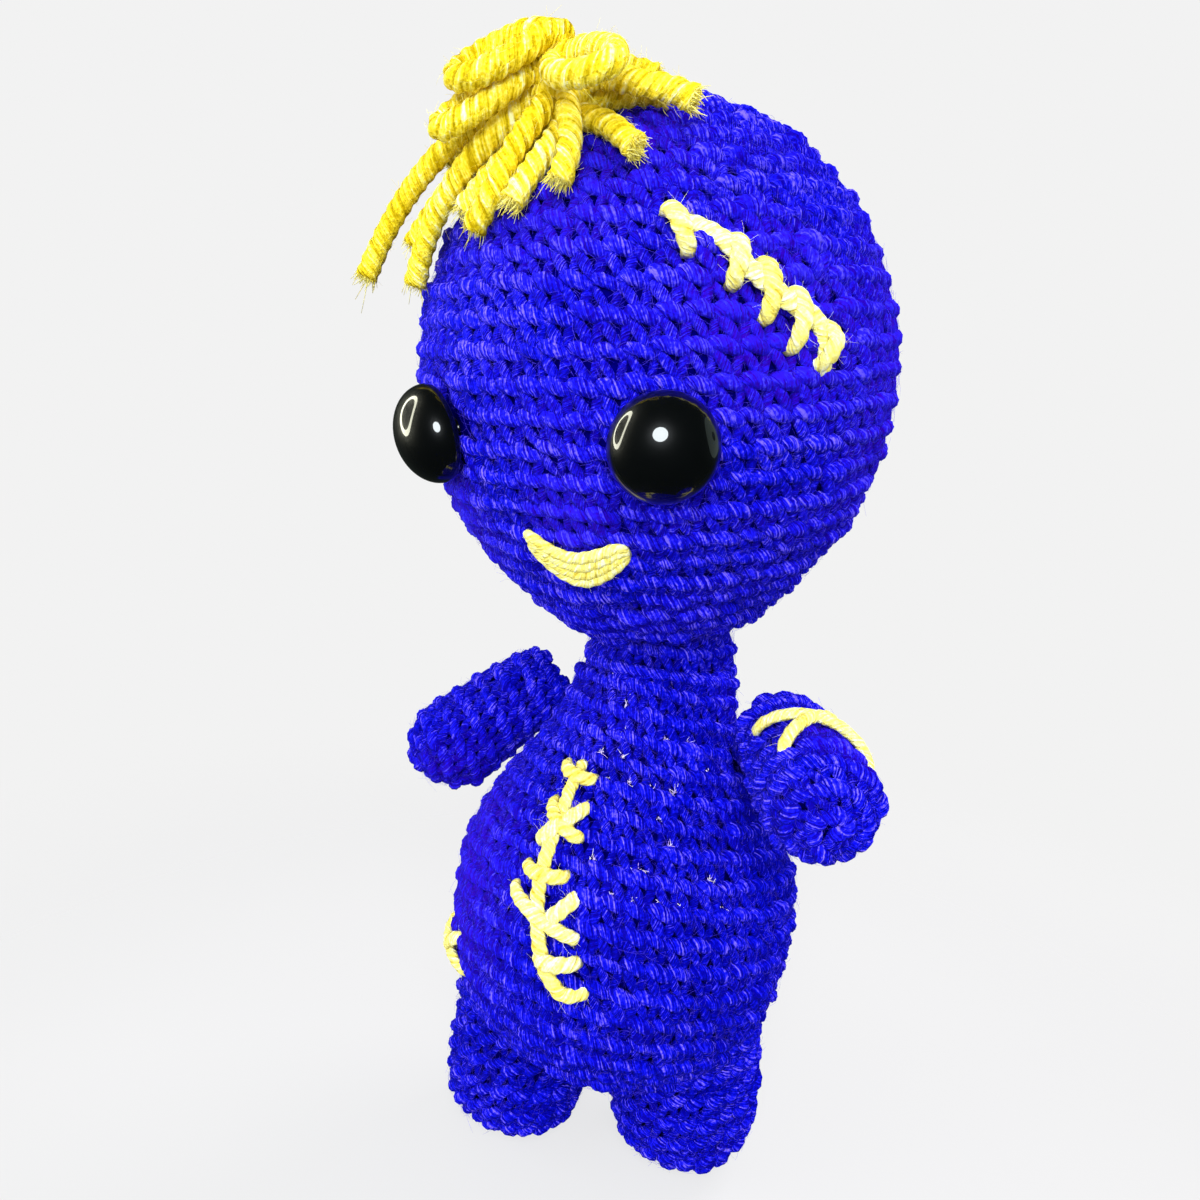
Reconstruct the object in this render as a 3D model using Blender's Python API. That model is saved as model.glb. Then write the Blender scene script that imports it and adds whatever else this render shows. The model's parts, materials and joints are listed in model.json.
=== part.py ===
"""Crocheted doll: stuffed covers, safety eyes, a yarn tuft and stitched scars.

Metres, +Z up. The doll stands on its feet and faces -Y, so its own left is +X.
Each crocheted piece is an open shell, each filling is the solid inside it, and the
pieces that move meet on spheres round their joints, so they turn without rubbing.
"""

import math

import bmesh
import bpy
from mathutils import Matrix, Vector

# Clearances and walls
SEAT_GAP = 0.0003
COVER_THICKNESS = 0.0022
CUT_OVERRUN = 0.004

# Head: an egg, rounder above and longer below, that nods forward at rest
HEAD_RADIUS = 0.042
HEAD_CROWN_HEIGHT = 0.0457
HEAD_CHIN_DROP = 0.0513
HEAD_CROWN_FULLNESS = 2.0
HEAD_CHIN_FULLNESS = 1.8
HEAD_RIM_RADIUS = 0.0163
HEAD_RIM_RISE = 0.0073
HEAD_NOD_DEG = 14.0

# Neck: a ball of crochet that the head and the torso close round
NECK_HEIGHT = 0.097
NECK_RADIUS = 0.0134
NECK_OPENING_RADIUS = 0.0050

# Torso: a pear that leans back, measured along its own axis from the floor
TORSO_LEAN_DEG = 10.0
BELLY_HEIGHT = 0.052
BELLY_RADIUS = 0.0335
CROTCH_HEIGHT = 0.016
TORSO_RIM_DROP = 0.0030
TORSO_RIM_HEIGHT = NECK_HEIGHT - TORSO_RIM_DROP
TORSO_RIM_RADIUS = 0.0165
BELLY_FULLNESS = 2.5
SHOULDER_FULLNESS = 1.05

# Arms: the root is a ball in the torso's side, and the arm swells to a round hand
ARM_DROP = 0.0115
ARM_HEIGHT = NECK_HEIGHT - ARM_DROP
ARM_STANDOFF = 0.0100
ARM_ROOT_RADIUS = 0.0090
ARM_RADIUS = 0.0099
ARM_REACH = 0.0205
ARM_OPENING_RADIUS = 0.0030
ARM_POSES = {
    "left": {"side": 1, "round_deg": 5.0, "heading_deg": 58.0, "drop_deg": 10.0},
    "right": {"side": -1, "round_deg": 0.0, "heading_deg": 52.0, "drop_deg": 33.0},
}

# Legs: round-ended tubes worked in one with the torso, one foot a little forward
LEG_RADIUS = 0.0146
LEG_SPREAD = 0.0156
LEG_END_LENGTH = 0.0140
LEG_FULLNESS = 2.7
HIP_HEIGHT = 0.034
HIP_BACK = 0.0066
HIP_FOLLOW = 0.35
SOLE_DEPTH = 0.0005
LEFT_FOOT_FORWARD = -0.0045
RIGHT_FOOT_FORWARD = 0.0108
LEG_STEPS = {
    "left": {"side": 1, "forward": LEFT_FOOT_FORWARD},
    "right": {"side": -1, "forward": RIGHT_FOOT_FORWARD},
}

# Safety eyes: a dome on a ribbed post, held inside the head by a washer
EYE_RADIUS = 0.0075
EYE_DOME_HEIGHT = 0.0056
EYE_EDGE_HEIGHT = 0.0010
EYE_PLACES = {
    "left": {"longitude_deg": 27.0, "latitude_deg": -7.0},
    "right": {"longitude_deg": -27.0, "latitude_deg": -5.5},
}
EYE_POST_RADIUS = 0.0018
EYE_RIB_RADIUS = 0.0024
EYE_RIB_PITCH = 0.0024
EYE_RIB_COUNT = 3
WASHER_RADIUS = 0.0055
WASHER_THICKNESS = 0.0010

# Embroidery and hair yarns
SCAR_YARN_RADIUS = 0.0012
MOUTH_YARN_RADIUS = 0.0011
HAIR_RADIUS = 0.0016
HAIR_GAP = 0.0003
HAIR_KNOT_RADIUS = 0.0044
HAIR_KNOT_HEIGHT = 0.0094
HAIR_KNOT_FULLNESS = 6.0
HAIR_KNOT_LONGITUDE_DEG = -2.0
HAIR_KNOT_LATITUDE_DEG = 56.0
HAIR_FALL_POWER = 1.6
HAIR_LAYERS = 2

# Places on the head, in degrees of longitude to its left and latitude up
FOREHEAD_SCAR_ANGLES = ((32, 31), (39, 27), (44, 21), (50, 16), (56, 13), (59, 9), (60, 4))
FOREHEAD_STITCH_ANGLES = (
    ((29, 33), (33, 25)),
    ((43, 27), (41, 19)),
    ((48, 23), (47, 13)),
    ((54, 18), (52, 8)),
    ((61, 12), (58, 5)),
)
MOUTH_ANGLES = ((-6, -26), (0, -31.0), (6, -33), (12, -31.5), (18, -28))
MOUTH_STRANDS = 3
MOUTH_RISE_SHARE = 1.7

# Places on the torso, in degrees round to its left and as shares of the rim's height
BELLY_SCAR_SHARES = (
    (-5, 0.81),
    (-3, 0.745),
    (-1, 0.67),
    (0, 0.595),
    (3, 0.52),
    (6, 0.47),
    (11, 0.436),
    (17, 0.447),
)
BELLY_STITCH_SHARES = (
    ((-12, 0.803), (4, 0.787)),
    ((-9, 0.739), (7, 0.691)),
    ((6, 0.745), (-7, 0.670)),
    ((-8, 0.628), (6, 0.628)),
    ((-11, 0.590), (13, 0.532)),
    ((11, 0.606), (3, 0.548)),
    ((1, 0.484), (14, 0.495)),
)
HIP_STITCH_SHARES = (((-40, 0.420), (-58, 0.351)), ((-59, 0.426), (-43, 0.340)))

# Places on the left arm, in degrees round it from its top and as shares of its reach
ARM_STITCH_SHARES = (((-62, 0.30), (58, 0.98)), ((-44, 0.92), (38, 0.42)))

# Hair: heading off the knot (0 is down the face), how far that turns, reach along the
# head as a share of its radius, layer, and the tip's height over the head in yarn radii
HAIR_STRAND_SHARES = (
    {"heading": -84, "bend": 18, "reach": 0.675, "layer": 0, "tip": 2.3},
    {"heading": -36, "bend": -8, "reach": 0.42, "layer": 0, "tip": 1.0},
    {"heading": 12, "bend": -18, "reach": 0.375, "layer": 0, "tip": 1.3},
    {"heading": 60, "bend": 0, "reach": 0.35, "layer": 0, "tip": 1.3},
    {"heading": 120, "bend": -8, "reach": 0.30, "layer": 0, "tip": 1.0},
    {"heading": -132, "bend": 40, "reach": 0.525, "layer": 0, "tip": 3.6},
    {"heading": -96, "bend": 30, "reach": 0.85, "layer": 1, "tip": 6.0},
    {"heading": -48, "bend": -6, "reach": 0.725, "layer": 1, "tip": 1.3},
    {"heading": 0, "bend": -26, "reach": 0.45, "layer": 1, "tip": 1.0},
    {"heading": 48, "bend": -30, "reach": 0.32, "layer": 1, "tip": 1.0},
    {"heading": 96, "bend": -4, "reach": 0.40, "layer": 1, "tip": 2.3},
    {"heading": 156, "bend": -4, "reach": 0.34, "layer": 1, "tip": 1.0},
    {"heading": -144, "bend": -2, "reach": 0.32, "layer": 1, "tip": 1.0},
)

# Loops: where each is seated, its heading, its lean off the knot's axis, its turn about
# that lean, and its length and width as shares of the yarn's radius
HAIR_LOOP_SHARES = (
    {"seat": "top", "heading": -50, "lean": 90, "turn": 0, "length": 8.0, "width": 5.0},
    {"seat": "side", "heading": -50, "lean": 96, "turn": 0, "length": 9.0, "width": 3.5},
    {"seat": "side", "heading": 60, "lean": 88, "turn": 0, "length": 8.0, "width": 4.0},
)

# Colours as seen, in linear values
BLUE_YARN = (0.022, 0.008, 0.55)
HAIR_YELLOW = (0.86, 0.76, 0.20)
LEMON_YARN = (0.93, 0.89, 0.42)
EYE_BLACK = (0.004, 0.004, 0.005)
WASHER_WHITE = (0.80, 0.80, 0.78)
FIBRE_WHITE = (0.85, 0.85, 0.82)

# Facets, kept few where a surface is hidden
HEAD_SEGMENTS = 36
TORSO_SEGMENTS = 32
LEG_SEGMENTS = 20
ARM_SEGMENTS = 18
NECK_SEGMENTS = 20
EYE_SEGMENTS = 20
OUTER_STEPS = 10
INNER_STEPS = 7
YARN_SIDES_RESOLUTION = 1


def clear_scene():
    """Remove whatever the file holds."""
    for old in list(bpy.data.objects):
        bpy.data.objects.remove(old, do_unlink=True)


def make_material(name, colour, roughness, coat=0.0):
    """A Principled material with one colour, as the piece is seen."""
    material = bpy.data.materials.new(name)
    material.use_nodes = True
    shader = material.node_tree.nodes["Principled BSDF"]
    shader.inputs["Base Color"].default_value = (*colour, 1.0)
    shader.inputs["Roughness"].default_value = roughness
    shader.inputs["Metallic"].default_value = 0.0
    shader.inputs["Coat Weight"].default_value = coat
    return material


def add_object(name, data, parent, colour=None, roughness=0.9, coat=0.0):
    """Link an object with its own material under its parent empty."""
    piece = bpy.data.objects.new(name, data)
    bpy.context.scene.collection.objects.link(piece)
    piece.parent = parent
    if colour is not None:
        data.materials.append(make_material(name + "_finish", colour, roughness, coat))
    return piece


def add_empty(name, parent, location=(0, 0, 0), rotation=None):
    """An unseen frame that carries pieces, with its origin on a joint or a centre."""
    empty = bpy.data.objects.new(name, None)
    bpy.context.scene.collection.objects.link(empty)
    empty.parent = parent
    turn = rotation if rotation is not None else Matrix.Identity(3)
    empty.matrix_basis = Matrix.Translation(location) @ turn.to_4x4()
    return empty


def hide_cutter(cutter):
    """Mark an object as a cutter, which is no piece of the doll."""
    cutter.hide_render = True
    cutter.display_type = "WIRE"
    return cutter


def combine(piece, other, operation):
    """Cut the piece with another object, or join the two into one solid."""
    modifier = piece.modifiers.new(operation.lower(), "BOOLEAN")
    modifier.operation = operation
    modifier.solver = "EXACT"
    modifier.object = hide_cutter(other)


def turned_mesh(name, profile, segments, closed=False):
    """Turn a profile of (radius, height) round +Z; a closed profile makes a shell."""
    shape = bmesh.new()
    points = [shape.verts.new((radius, 0, height)) for radius, height in profile]
    pairs = list(zip(points, points[1:]))
    if closed:
        pairs.append((points[-1], points[0]))
    edges = [shape.edges.new(pair) for pair in pairs]
    bmesh.ops.spin(
        shape, geom=points + edges, cent=(0, 0, 0), axis=(0, 0, 1), angle=math.tau, steps=segments
    )
    bmesh.ops.remove_doubles(shape, verts=shape.verts, dist=SEAT_GAP / 100)
    bmesh.ops.recalc_face_normals(shape, faces=shape.faces)
    mesh = bpy.data.meshes.new(name)
    shape.to_mesh(mesh)
    shape.free()
    mesh.shade_smooth()
    mesh.set_sharp_from_angle(angle=math.radians(50))
    return mesh


def superellipse(radius, length, fullness, rise):
    """Radius of a round end at a rise from 0, its widest, to its length, its tip."""
    share = min(max(rise / length, 0.0), 1.0)
    return radius * (1.0 - share**fullness) ** (1.0 / fullness)


def crowded(count):
    """Shares from 0 to 1 that crowd at the end, for a form that closes there."""
    return [math.sin(0.5 * math.pi * step / count) for step in range(count + 1)]


def inset_profile(profile, depth):
    """Move a profile that runs upwards inwards by a depth, never past the axis."""
    moved = []
    for index, (radius, height) in enumerate(profile):
        before = profile[max(index - 1, 0)]
        after = profile[min(index + 1, len(profile) - 1)]
        along = Vector((after[0] - before[0], after[1] - before[1]))
        if radius == 0:
            along = Vector((1.0, 0.0)) if index == 0 else Vector((-1.0, 0.0))
        along.normalize()
        new_radius = max(radius - along.y * depth, 0.0)
        moved.append((new_radius, height + along.x * depth))
    return moved


def ball_arc(radius, centre, start, end, count):
    """Profile points on a ball at a height, between two angles up from its equator."""
    points = []
    for step in range(count + 1):
        angle = start + (end - start) * step / count
        points.append((radius * math.cos(angle), centre + radius * math.sin(angle)))
    points = [(0.0 if abs(r) < SEAT_GAP / 10 else r, z) for r, z in points]
    return points


def clip_outside_ball(profile, radius, centre):
    """Keep the start of a profile up to where it meets a ball, ending on the ball."""
    kept = [profile[0]]
    for inner, outer in zip(profile, profile[1:]):
        if math.hypot(outer[0], outer[1] - centre) <= radius:
            low, high = 0.0, 1.0
            for _ in range(40):
                middle = (low + high) / 2
                point = (
                    inner[0] + (outer[0] - inner[0]) * middle,
                    inner[1] + (outer[1] - inner[1]) * middle,
                )
                if math.hypot(point[0], point[1] - centre) > radius:
                    low = middle
                else:
                    high = middle
            kept.append(point)
            return kept
        kept.append(outer)
    return kept


def head_half(above):
    """Height and fullness of the half of the egg above or below its widest round."""
    if above:
        return HEAD_CROWN_HEIGHT, HEAD_CROWN_FULLNESS
    return HEAD_CHIN_DROP, HEAD_CHIN_FULLNESS


def head_outline(latitude):
    """Radius and height of the egg's outline at a latitude in radians, and its normal."""
    half_height, fullness = head_half(latitude >= 0)
    flat = max(math.cos(latitude), 0.0) ** (2 / fullness)
    rise = abs(math.sin(latitude)) ** (2 / fullness)
    normal = Vector((flat ** (fullness - 1) / HEAD_RADIUS, rise ** (fullness - 1) / half_height))
    normal.normalize()
    sign = math.copysign(1.0, latitude)
    return HEAD_RADIUS * flat, half_height * rise * sign, normal.x, normal.y * sign


def head_rim_latitude():
    """Latitude in radians at which the egg is as narrow as its rim."""
    return -math.acos((HEAD_RIM_RADIUS / HEAD_RADIUS) ** (HEAD_CHIN_FULLNESS / 2))


def head_reach():
    """Height of the egg's centre over the neck's joint, along the head's axis."""
    return HEAD_RIM_RISE - head_outline(head_rim_latitude())[1]


def head_profile(inset, steps):
    """Half outline of the egg from crown to rim, moved in by an inset."""
    crown = [math.pi / 2 * (1 - step / steps) for step in range(1, steps)]
    chin = [head_rim_latitude() * step / (steps - 1) for step in range(steps)]
    points = [(0.0, HEAD_CROWN_HEIGHT - inset)]
    for latitude in crown + chin:
        radius, height, out, up = head_outline(latitude)
        points.append((radius - out * inset, height - up * inset))
    return points


def head_frame(longitude_deg, latitude_deg, lift):
    """Frame off the head's surface: +Z straight out, +Y up the head."""
    longitude = math.radians(longitude_deg)
    radius, height, out, up = head_outline(math.radians(latitude_deg))
    facing = Vector((math.sin(longitude), -math.cos(longitude), 0))
    outward = facing * out + Vector((0, 0, up))
    sideways = Vector((0, 0, 1)).cross(outward).normalized()
    upward = outward.cross(sideways)
    turn = Matrix((sideways, upward, outward)).transposed()
    return facing * radius + Vector((0, 0, height)) + outward * lift, turn


def head_point(longitude_deg, latitude_deg, lift):
    """A point off the head's surface, in the frame of the head's centre."""
    return head_frame(longitude_deg, latitude_deg, lift)[0]


def torso_radius(height):
    """Outer radius of the torso at a height along its axis."""
    if height < BELLY_HEIGHT:
        drop = BELLY_HEIGHT - height
        return superellipse(BELLY_RADIUS, BELLY_HEIGHT - CROTCH_HEIGHT, BELLY_FULLNESS, drop)
    share = min((height - BELLY_HEIGHT) / (TORSO_RIM_HEIGHT - BELLY_HEIGHT), 1.0)
    blend = 0.5 + 0.5 * math.cos(math.pi * share**SHOULDER_FULLNESS)
    return TORSO_RIM_RADIUS + (BELLY_RADIUS - TORSO_RIM_RADIUS) * blend


def torso_profile():
    """Half outline of the torso from the crotch up to its rim at the neck."""
    lower = [CROTCH_HEIGHT + (BELLY_HEIGHT - CROTCH_HEIGHT) * (1 - share) for share in crowded(7)]
    upper_span = TORSO_RIM_HEIGHT - BELLY_HEIGHT
    upper = [BELLY_HEIGHT + upper_span * step / 7 for step in range(1, 8)]
    heights = lower[::-1] + upper
    return [(torso_radius(height), height) for height in heights]


def torso_point(round_deg, height, lift):
    """A point off the torso's surface, in the torso's frame."""
    angle = math.radians(round_deg)
    radius = torso_radius(height) + lift
    return Vector((radius * math.sin(angle), -radius * math.cos(angle), height))


def torso_place(round_deg, share, lift):
    """A point off the torso's surface at a share of its rim's height."""
    return torso_point(round_deg, share * TORSO_RIM_HEIGHT, lift)


def arm_radius(along):
    """Outer radius of an arm at a distance out from its joint."""
    if along <= 0:
        return math.sqrt(max(ARM_ROOT_RADIUS**2 - along**2, 0.0))
    if along >= ARM_REACH:
        return superellipse(ARM_RADIUS, ARM_RADIUS, 2.0, along - ARM_REACH)
    blend = 0.5 - 0.5 * math.cos(math.pi * along / ARM_REACH)
    return ARM_ROOT_RADIUS + (ARM_RADIUS - ARM_ROOT_RADIUS) * blend


def arm_profile():
    """Half outline of an arm from the edge of its opening to the tip of its hand."""
    start = -math.sqrt(ARM_ROOT_RADIUS**2 - ARM_OPENING_RADIUS**2)
    root = [start * (1 - share) for share in crowded(3)]
    shaft = [ARM_REACH * step / 4 for step in range(1, 4)]
    hand = [ARM_REACH + ARM_RADIUS * share for share in crowded(4)]
    return [(arm_radius(along), along) for along in root + shaft + hand]


def arm_point(round_deg, along, lift):
    """A point off an arm's surface, in the arm's frame, where +Y is the arm's top."""
    angle = math.radians(round_deg)
    slope = (along - ARM_REACH) / ARM_RADIUS if along > ARM_REACH else 0.0
    radius = arm_radius(along) + lift * math.sqrt(max(1 - slope**2, 0.0))
    return Vector((radius * math.sin(angle), radius * math.cos(angle), along + lift * slope))


def arm_place(round_deg, share, lift):
    """A point off an arm's surface at a share of its reach."""
    return arm_point(round_deg, share * ARM_REACH, lift)


def leg_profile(length):
    """Half outline of a leg from the tip of its foot to its top, tip at height 0."""
    foot = [LEG_END_LENGTH * (1 - share) for share in crowded(6)][::-1]
    points = [
        (superellipse(LEG_RADIUS, LEG_END_LENGTH, LEG_FULLNESS, LEG_END_LENGTH - rise), rise)
        for rise in foot
    ]
    points.append((LEG_RADIUS, (LEG_END_LENGTH + length) / 2))
    points.append((LEG_RADIUS, length))
    return points


def smooth_route(points, steps):
    """Points of a smooth curve through given points, with steps to each span."""
    padded = [points[0], *points, points[-1]]
    route = []
    for a, b, c, d in zip(padded, padded[1:], padded[2:], padded[3:]):
        for step in range(steps):
            t = step / steps
            route.append(
                tuple(
                    0.5
                    * (
                        2 * q
                        + (r - p) * t
                        + (2 * p - 5 * q + 4 * r - s) * t**2
                        + (3 * q - p - 3 * r + s) * t**3
                    )
                    for p, q, r, s in zip(a, b, c, d)
                )
            )
    route.append(tuple(points[-1]))
    return route


def yarn_curve(name, points, radius):
    """A capped tube of yarn through the points, as a curve."""
    curve = bpy.data.curves.new(name, "CURVE")
    curve.dimensions = "3D"
    curve.bevel_depth = radius
    curve.bevel_resolution = YARN_SIDES_RESOLUTION
    curve.use_fill_caps = True
    spline = curve.splines.new("POLY")
    spline.points.add(len(points) - 1)
    for target, point in zip(spline.points, points):
        target.co = (*point, 1.0)
    return curve


def yarn_mesh(name, points, radius):
    """The same tube as a mesh, which other strands can be joined to."""
    holder = bpy.data.objects.new(name + "_route", yarn_curve(name, points, radius))
    bpy.context.scene.collection.objects.link(holder)
    bpy.context.view_layer.update()
    seen = holder.evaluated_get(bpy.context.evaluated_depsgraph_get())
    mesh = bpy.data.meshes.new_from_object(seen)
    bpy.data.objects.remove(holder, do_unlink=True)
    mesh.name = name
    return mesh


def embroider(name, parent, spine, stitches, radius, colour):
    """One length of yarn laid on a surface: a line and the stitches across it."""
    strands = [spine] + stitches if spine else list(stitches)
    first = add_object(name, yarn_mesh(name, strands[0], radius), parent, colour)
    for index, strand in enumerate(strands[1:]):
        part_name = name + "_stitch_" + str(index + 1)
        other = add_object(part_name, yarn_mesh(part_name, strand, radius), parent)
        combine(first, other, "UNION")
    return first


def stitch_across(place, start, end, radius, steps=7):
    """A strand over a surface from start to end, humped where it crosses the line."""
    points = []
    for step in range(steps + 1):
        share = step / steps
        first = start[0] + (end[0] - start[0]) * share
        second = start[1] + (end[1] - start[1]) * share
        lift = SEAT_GAP + radius * (1.0 + math.sin(math.pi * share))
        points.append(place(first, second, lift))
    return points


def build_frames():
    """The unseen frames: the doll, its torso, its joints and the head's centre."""
    lean = Matrix.Rotation(math.radians(-TORSO_LEAN_DEG), 3, "X")
    nod = Matrix.Rotation(math.radians(HEAD_NOD_DEG + TORSO_LEAN_DEG), 3, "X")
    frames = {"doll": add_empty("doll_frame", None)}
    frames["torso"] = add_empty("torso_frame", frames["doll"], rotation=lean)
    frames["neck"] = add_empty("neck_joint", frames["torso"], (0, 0, NECK_HEIGHT))
    frames["head"] = add_empty("head_joint", frames["neck"], rotation=nod)
    frames["head_centre"] = add_empty("head_centre", frames["head"], (0, 0, head_reach()))
    for side, pose in ARM_POSES.items():
        frames[side + "_arm"] = arm_frame(side, pose, frames["torso"], lean)
    for side, step in LEG_STEPS.items():
        frames[side + "_leg"] = leg_frame(side, step, frames["doll"], lean)
    return frames


def arm_frame(side, pose, torso, lean):
    """Frame of an arm: origin on the shoulder joint, +Z out along the arm, +Y up."""
    angle = math.radians(pose["round_deg"])
    out = torso_radius(ARM_HEIGHT) + ARM_STANDOFF
    pivot = Vector((pose["side"] * out * math.cos(angle), -out * math.sin(angle), ARM_HEIGHT))
    heading, drop = math.radians(pose["heading_deg"]), math.radians(pose["drop_deg"])
    outward = Vector(
        (
            pose["side"] * math.cos(heading) * math.cos(drop),
            -math.sin(heading) * math.cos(drop),
            -math.sin(drop),
        )
    )
    sideways = Vector((0, 0, 1)).cross(outward).normalized()
    upward = outward.cross(sideways)
    turn = lean.inverted() @ Matrix((sideways, upward, outward)).transposed()
    return add_empty(side + "_shoulder_joint", torso, pivot, turn)


def leg_frame(side, step, doll, lean):
    """Frame of a leg: +Z up the leg from the tip of its foot, cut by the floor."""
    hip = lean @ Vector((0, 0, HIP_HEIGHT))
    hip.x = step["side"] * LEG_SPREAD
    hip.y -= step["forward"] * HIP_FOLLOW
    foot = Vector((hip.x, HIP_BACK - step["forward"], 0))
    upward = (hip - foot).normalized()
    tilt = math.acos(upward.z)
    reach = min(z * math.cos(tilt) - r * math.sin(tilt) for r, z in leg_profile(HIP_HEIGHT))
    start = foot + Vector((0, 0, -SOLE_DEPTH - reach))
    sideways = upward.cross(Vector((0, -1, 0))).normalized() * -1
    turn = Matrix((sideways, upward.cross(sideways), upward)).transposed()
    return add_empty(side + "_leg_frame", doll, start, turn)


def build_head(frames):
    """The head's cover and filling, open below to take the ball of the neck."""
    centre = frames["head_centre"]
    socket = NECK_RADIUS + SEAT_GAP
    outer = head_profile(0.0, OUTER_STEPS)
    reach = head_reach()
    rim = (math.sqrt(socket**2 - HEAD_RIM_RISE**2), outer[-1][1])
    wall = head_profile(COVER_THICKNESS, INNER_STEPS)
    inner = clip_outside_ball(wall, socket, -reach)
    shell = outer + [rim] + inner[::-1]
    cover_mesh = turned_mesh("head_cover", shell, HEAD_SEGMENTS)
    cover = add_object("head_cover", cover_mesh, centre, BLUE_YARN)

    within = head_profile(COVER_THICKNESS + SEAT_GAP, INNER_STEPS)
    filled = clip_outside_ball(within, socket, -reach)
    start = math.asin((filled[-1][1] + reach) / socket)
    filled += ball_arc(socket, -reach, start, math.pi / 2, 3)[1:]
    filling_mesh = turned_mesh("head_filling", filled, HEAD_SEGMENTS // 2)
    filling = add_object("head_filling", filling_mesh, centre, FIBRE_WHITE)
    return cover, filling


def build_neck(frames):
    """The neck: a crocheted ball, open at both poles, round its own filling."""
    wall = NECK_RADIUS - COVER_THICKNESS
    outer_angle = math.acos(NECK_OPENING_RADIUS / NECK_RADIUS)
    inner_angle = math.acos(NECK_OPENING_RADIUS / wall)
    shell = ball_arc(NECK_RADIUS, 0.0, outer_angle, -outer_angle, INNER_STEPS + 1)
    shell += ball_arc(wall, 0.0, -inner_angle, inner_angle, INNER_STEPS)
    mesh = turned_mesh("neck_cover", shell, NECK_SEGMENTS, closed=True)
    add_object("neck_cover", mesh, frames["neck"], BLUE_YARN)
    filled = ball_arc(wall - SEAT_GAP, 0.0, math.pi / 2, -math.pi / 2, INNER_STEPS)
    filling = turned_mesh("neck_filling", filled, NECK_SEGMENTS)
    add_object("neck_filling", filling, frames["neck"], FIBRE_WHITE)


def build_torso(frames):
    """The torso's cover and filling, with a cup on top for the ball of the neck."""
    socket = NECK_RADIUS + SEAT_GAP
    outer = torso_profile()
    rim = (math.sqrt(socket**2 - TORSO_RIM_DROP**2), outer[-1][1])
    inner = clip_outside_ball(inset_profile(outer, COVER_THICKNESS), socket, NECK_HEIGHT)
    mesh = turned_mesh("torso_cover", outer + [rim] + inner[::-1], TORSO_SEGMENTS)
    cover = add_object("torso_cover", mesh, frames["torso"], BLUE_YARN)

    inset = inset_profile(outer, COVER_THICKNESS + SEAT_GAP)
    filled = clip_outside_ball(inset, socket, NECK_HEIGHT)
    start = math.asin((filled[-1][1] - NECK_HEIGHT) / socket)
    filled += ball_arc(socket, NECK_HEIGHT, start, -math.pi / 2, 4)[1:]
    mesh = turned_mesh("torso_filling", filled, TORSO_SEGMENTS // 2)
    filling = add_object("torso_filling", mesh, frames["torso"], FIBRE_WHITE)
    return cover, filling


def build_arm(side, frames, torso_pieces):
    """An arm's cover and filling; its root's ball is cut out of the torso's side."""
    frame = frames[side + "_arm"]
    outer = arm_profile()
    inner = [(r, z) for r, z in inset_profile(outer, COVER_THICKNESS)]
    mouth = math.sqrt((ARM_ROOT_RADIUS - COVER_THICKNESS) ** 2 - ARM_OPENING_RADIUS**2)
    inner = [(ARM_OPENING_RADIUS, -mouth)] + [point for point in inner if point[1] > -mouth]
    mesh = turned_mesh(side + "_arm_cover", outer + inner[::-1], ARM_SEGMENTS)
    close_opening(mesh, outer[0], inner[0])
    cover = add_object(side + "_arm_cover", mesh, frame, BLUE_YARN)

    depth = COVER_THICKNESS + SEAT_GAP
    filled = [point for point in inset_profile(outer, depth) if point[1] > -mouth + SEAT_GAP]
    root = math.sqrt(max((ARM_ROOT_RADIUS - depth) ** 2 - filled[0][0] ** 2, 0.0))
    filled = [(0.0, -max(root, ARM_ROOT_RADIUS - depth))] + filled
    mesh = turned_mesh(side + "_arm_filling", filled, ARM_SEGMENTS)
    add_object(side + "_arm_filling", mesh, frame, FIBRE_WHITE)

    ball = ball_arc(ARM_ROOT_RADIUS + SEAT_GAP, 0.0, math.pi / 2, -math.pi / 2, OUTER_STEPS)
    for piece in torso_pieces:
        cutter_name = side + "_shoulder_cut_" + piece.name
        cutter = add_object(cutter_name, turned_mesh(cutter_name, ball, ARM_SEGMENTS), frame)
        combine(piece, cutter, "DIFFERENCE")
    return cover


def close_opening(mesh, outer_edge, inner_edge):
    """Join the two rims of an opening with a ring of faces."""
    shape = bmesh.new()
    shape.from_mesh(mesh)
    loose = [edge for edge in shape.edges if len(edge.link_faces) == 1]
    bmesh.ops.bridge_loops(shape, edges=loose)
    bmesh.ops.recalc_face_normals(shape, faces=shape.faces)
    shape.to_mesh(mesh)
    shape.free()


def build_leg(side, frames):
    """A leg's cover and filling, cut above by the torso and flat below by the floor."""
    frame = frames[side + "_leg"]
    outer = leg_profile(HIP_HEIGHT)
    inner = inset_profile(outer, COVER_THICKNESS)
    inner[-1] = (LEG_RADIUS - COVER_THICKNESS, HIP_HEIGHT)
    mesh = turned_mesh(side + "_leg_cover", outer + inner[::-1], LEG_SEGMENTS)
    cover = add_object(side + "_leg_cover", mesh, frame, BLUE_YARN)

    filled = inset_profile(outer, COVER_THICKNESS + SEAT_GAP)
    filled[-1] = (LEG_RADIUS - COVER_THICKNESS - SEAT_GAP, HIP_HEIGHT)
    filled.append((0.0, HIP_HEIGHT))
    mesh = turned_mesh(side + "_leg_filling", filled, LEG_SEGMENTS)
    filling = add_object(side + "_leg_filling", mesh, frame, FIBRE_WHITE)

    for piece in (cover, filling):
        gap_profile = inset_profile(torso_profile(), -SEAT_GAP)
        gap_profile.append((0.0, gap_profile[-1][1]))
        name = side + "_hip_cut_" + piece.name
        cutter = add_object(name, turned_mesh(name, gap_profile, TORSO_SEGMENTS), frames["torso"])
        combine(piece, cutter, "DIFFERENCE")
    combine(cover, floor_cutter(side + "_sole_cut", frames["doll"]), "DIFFERENCE")


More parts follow.
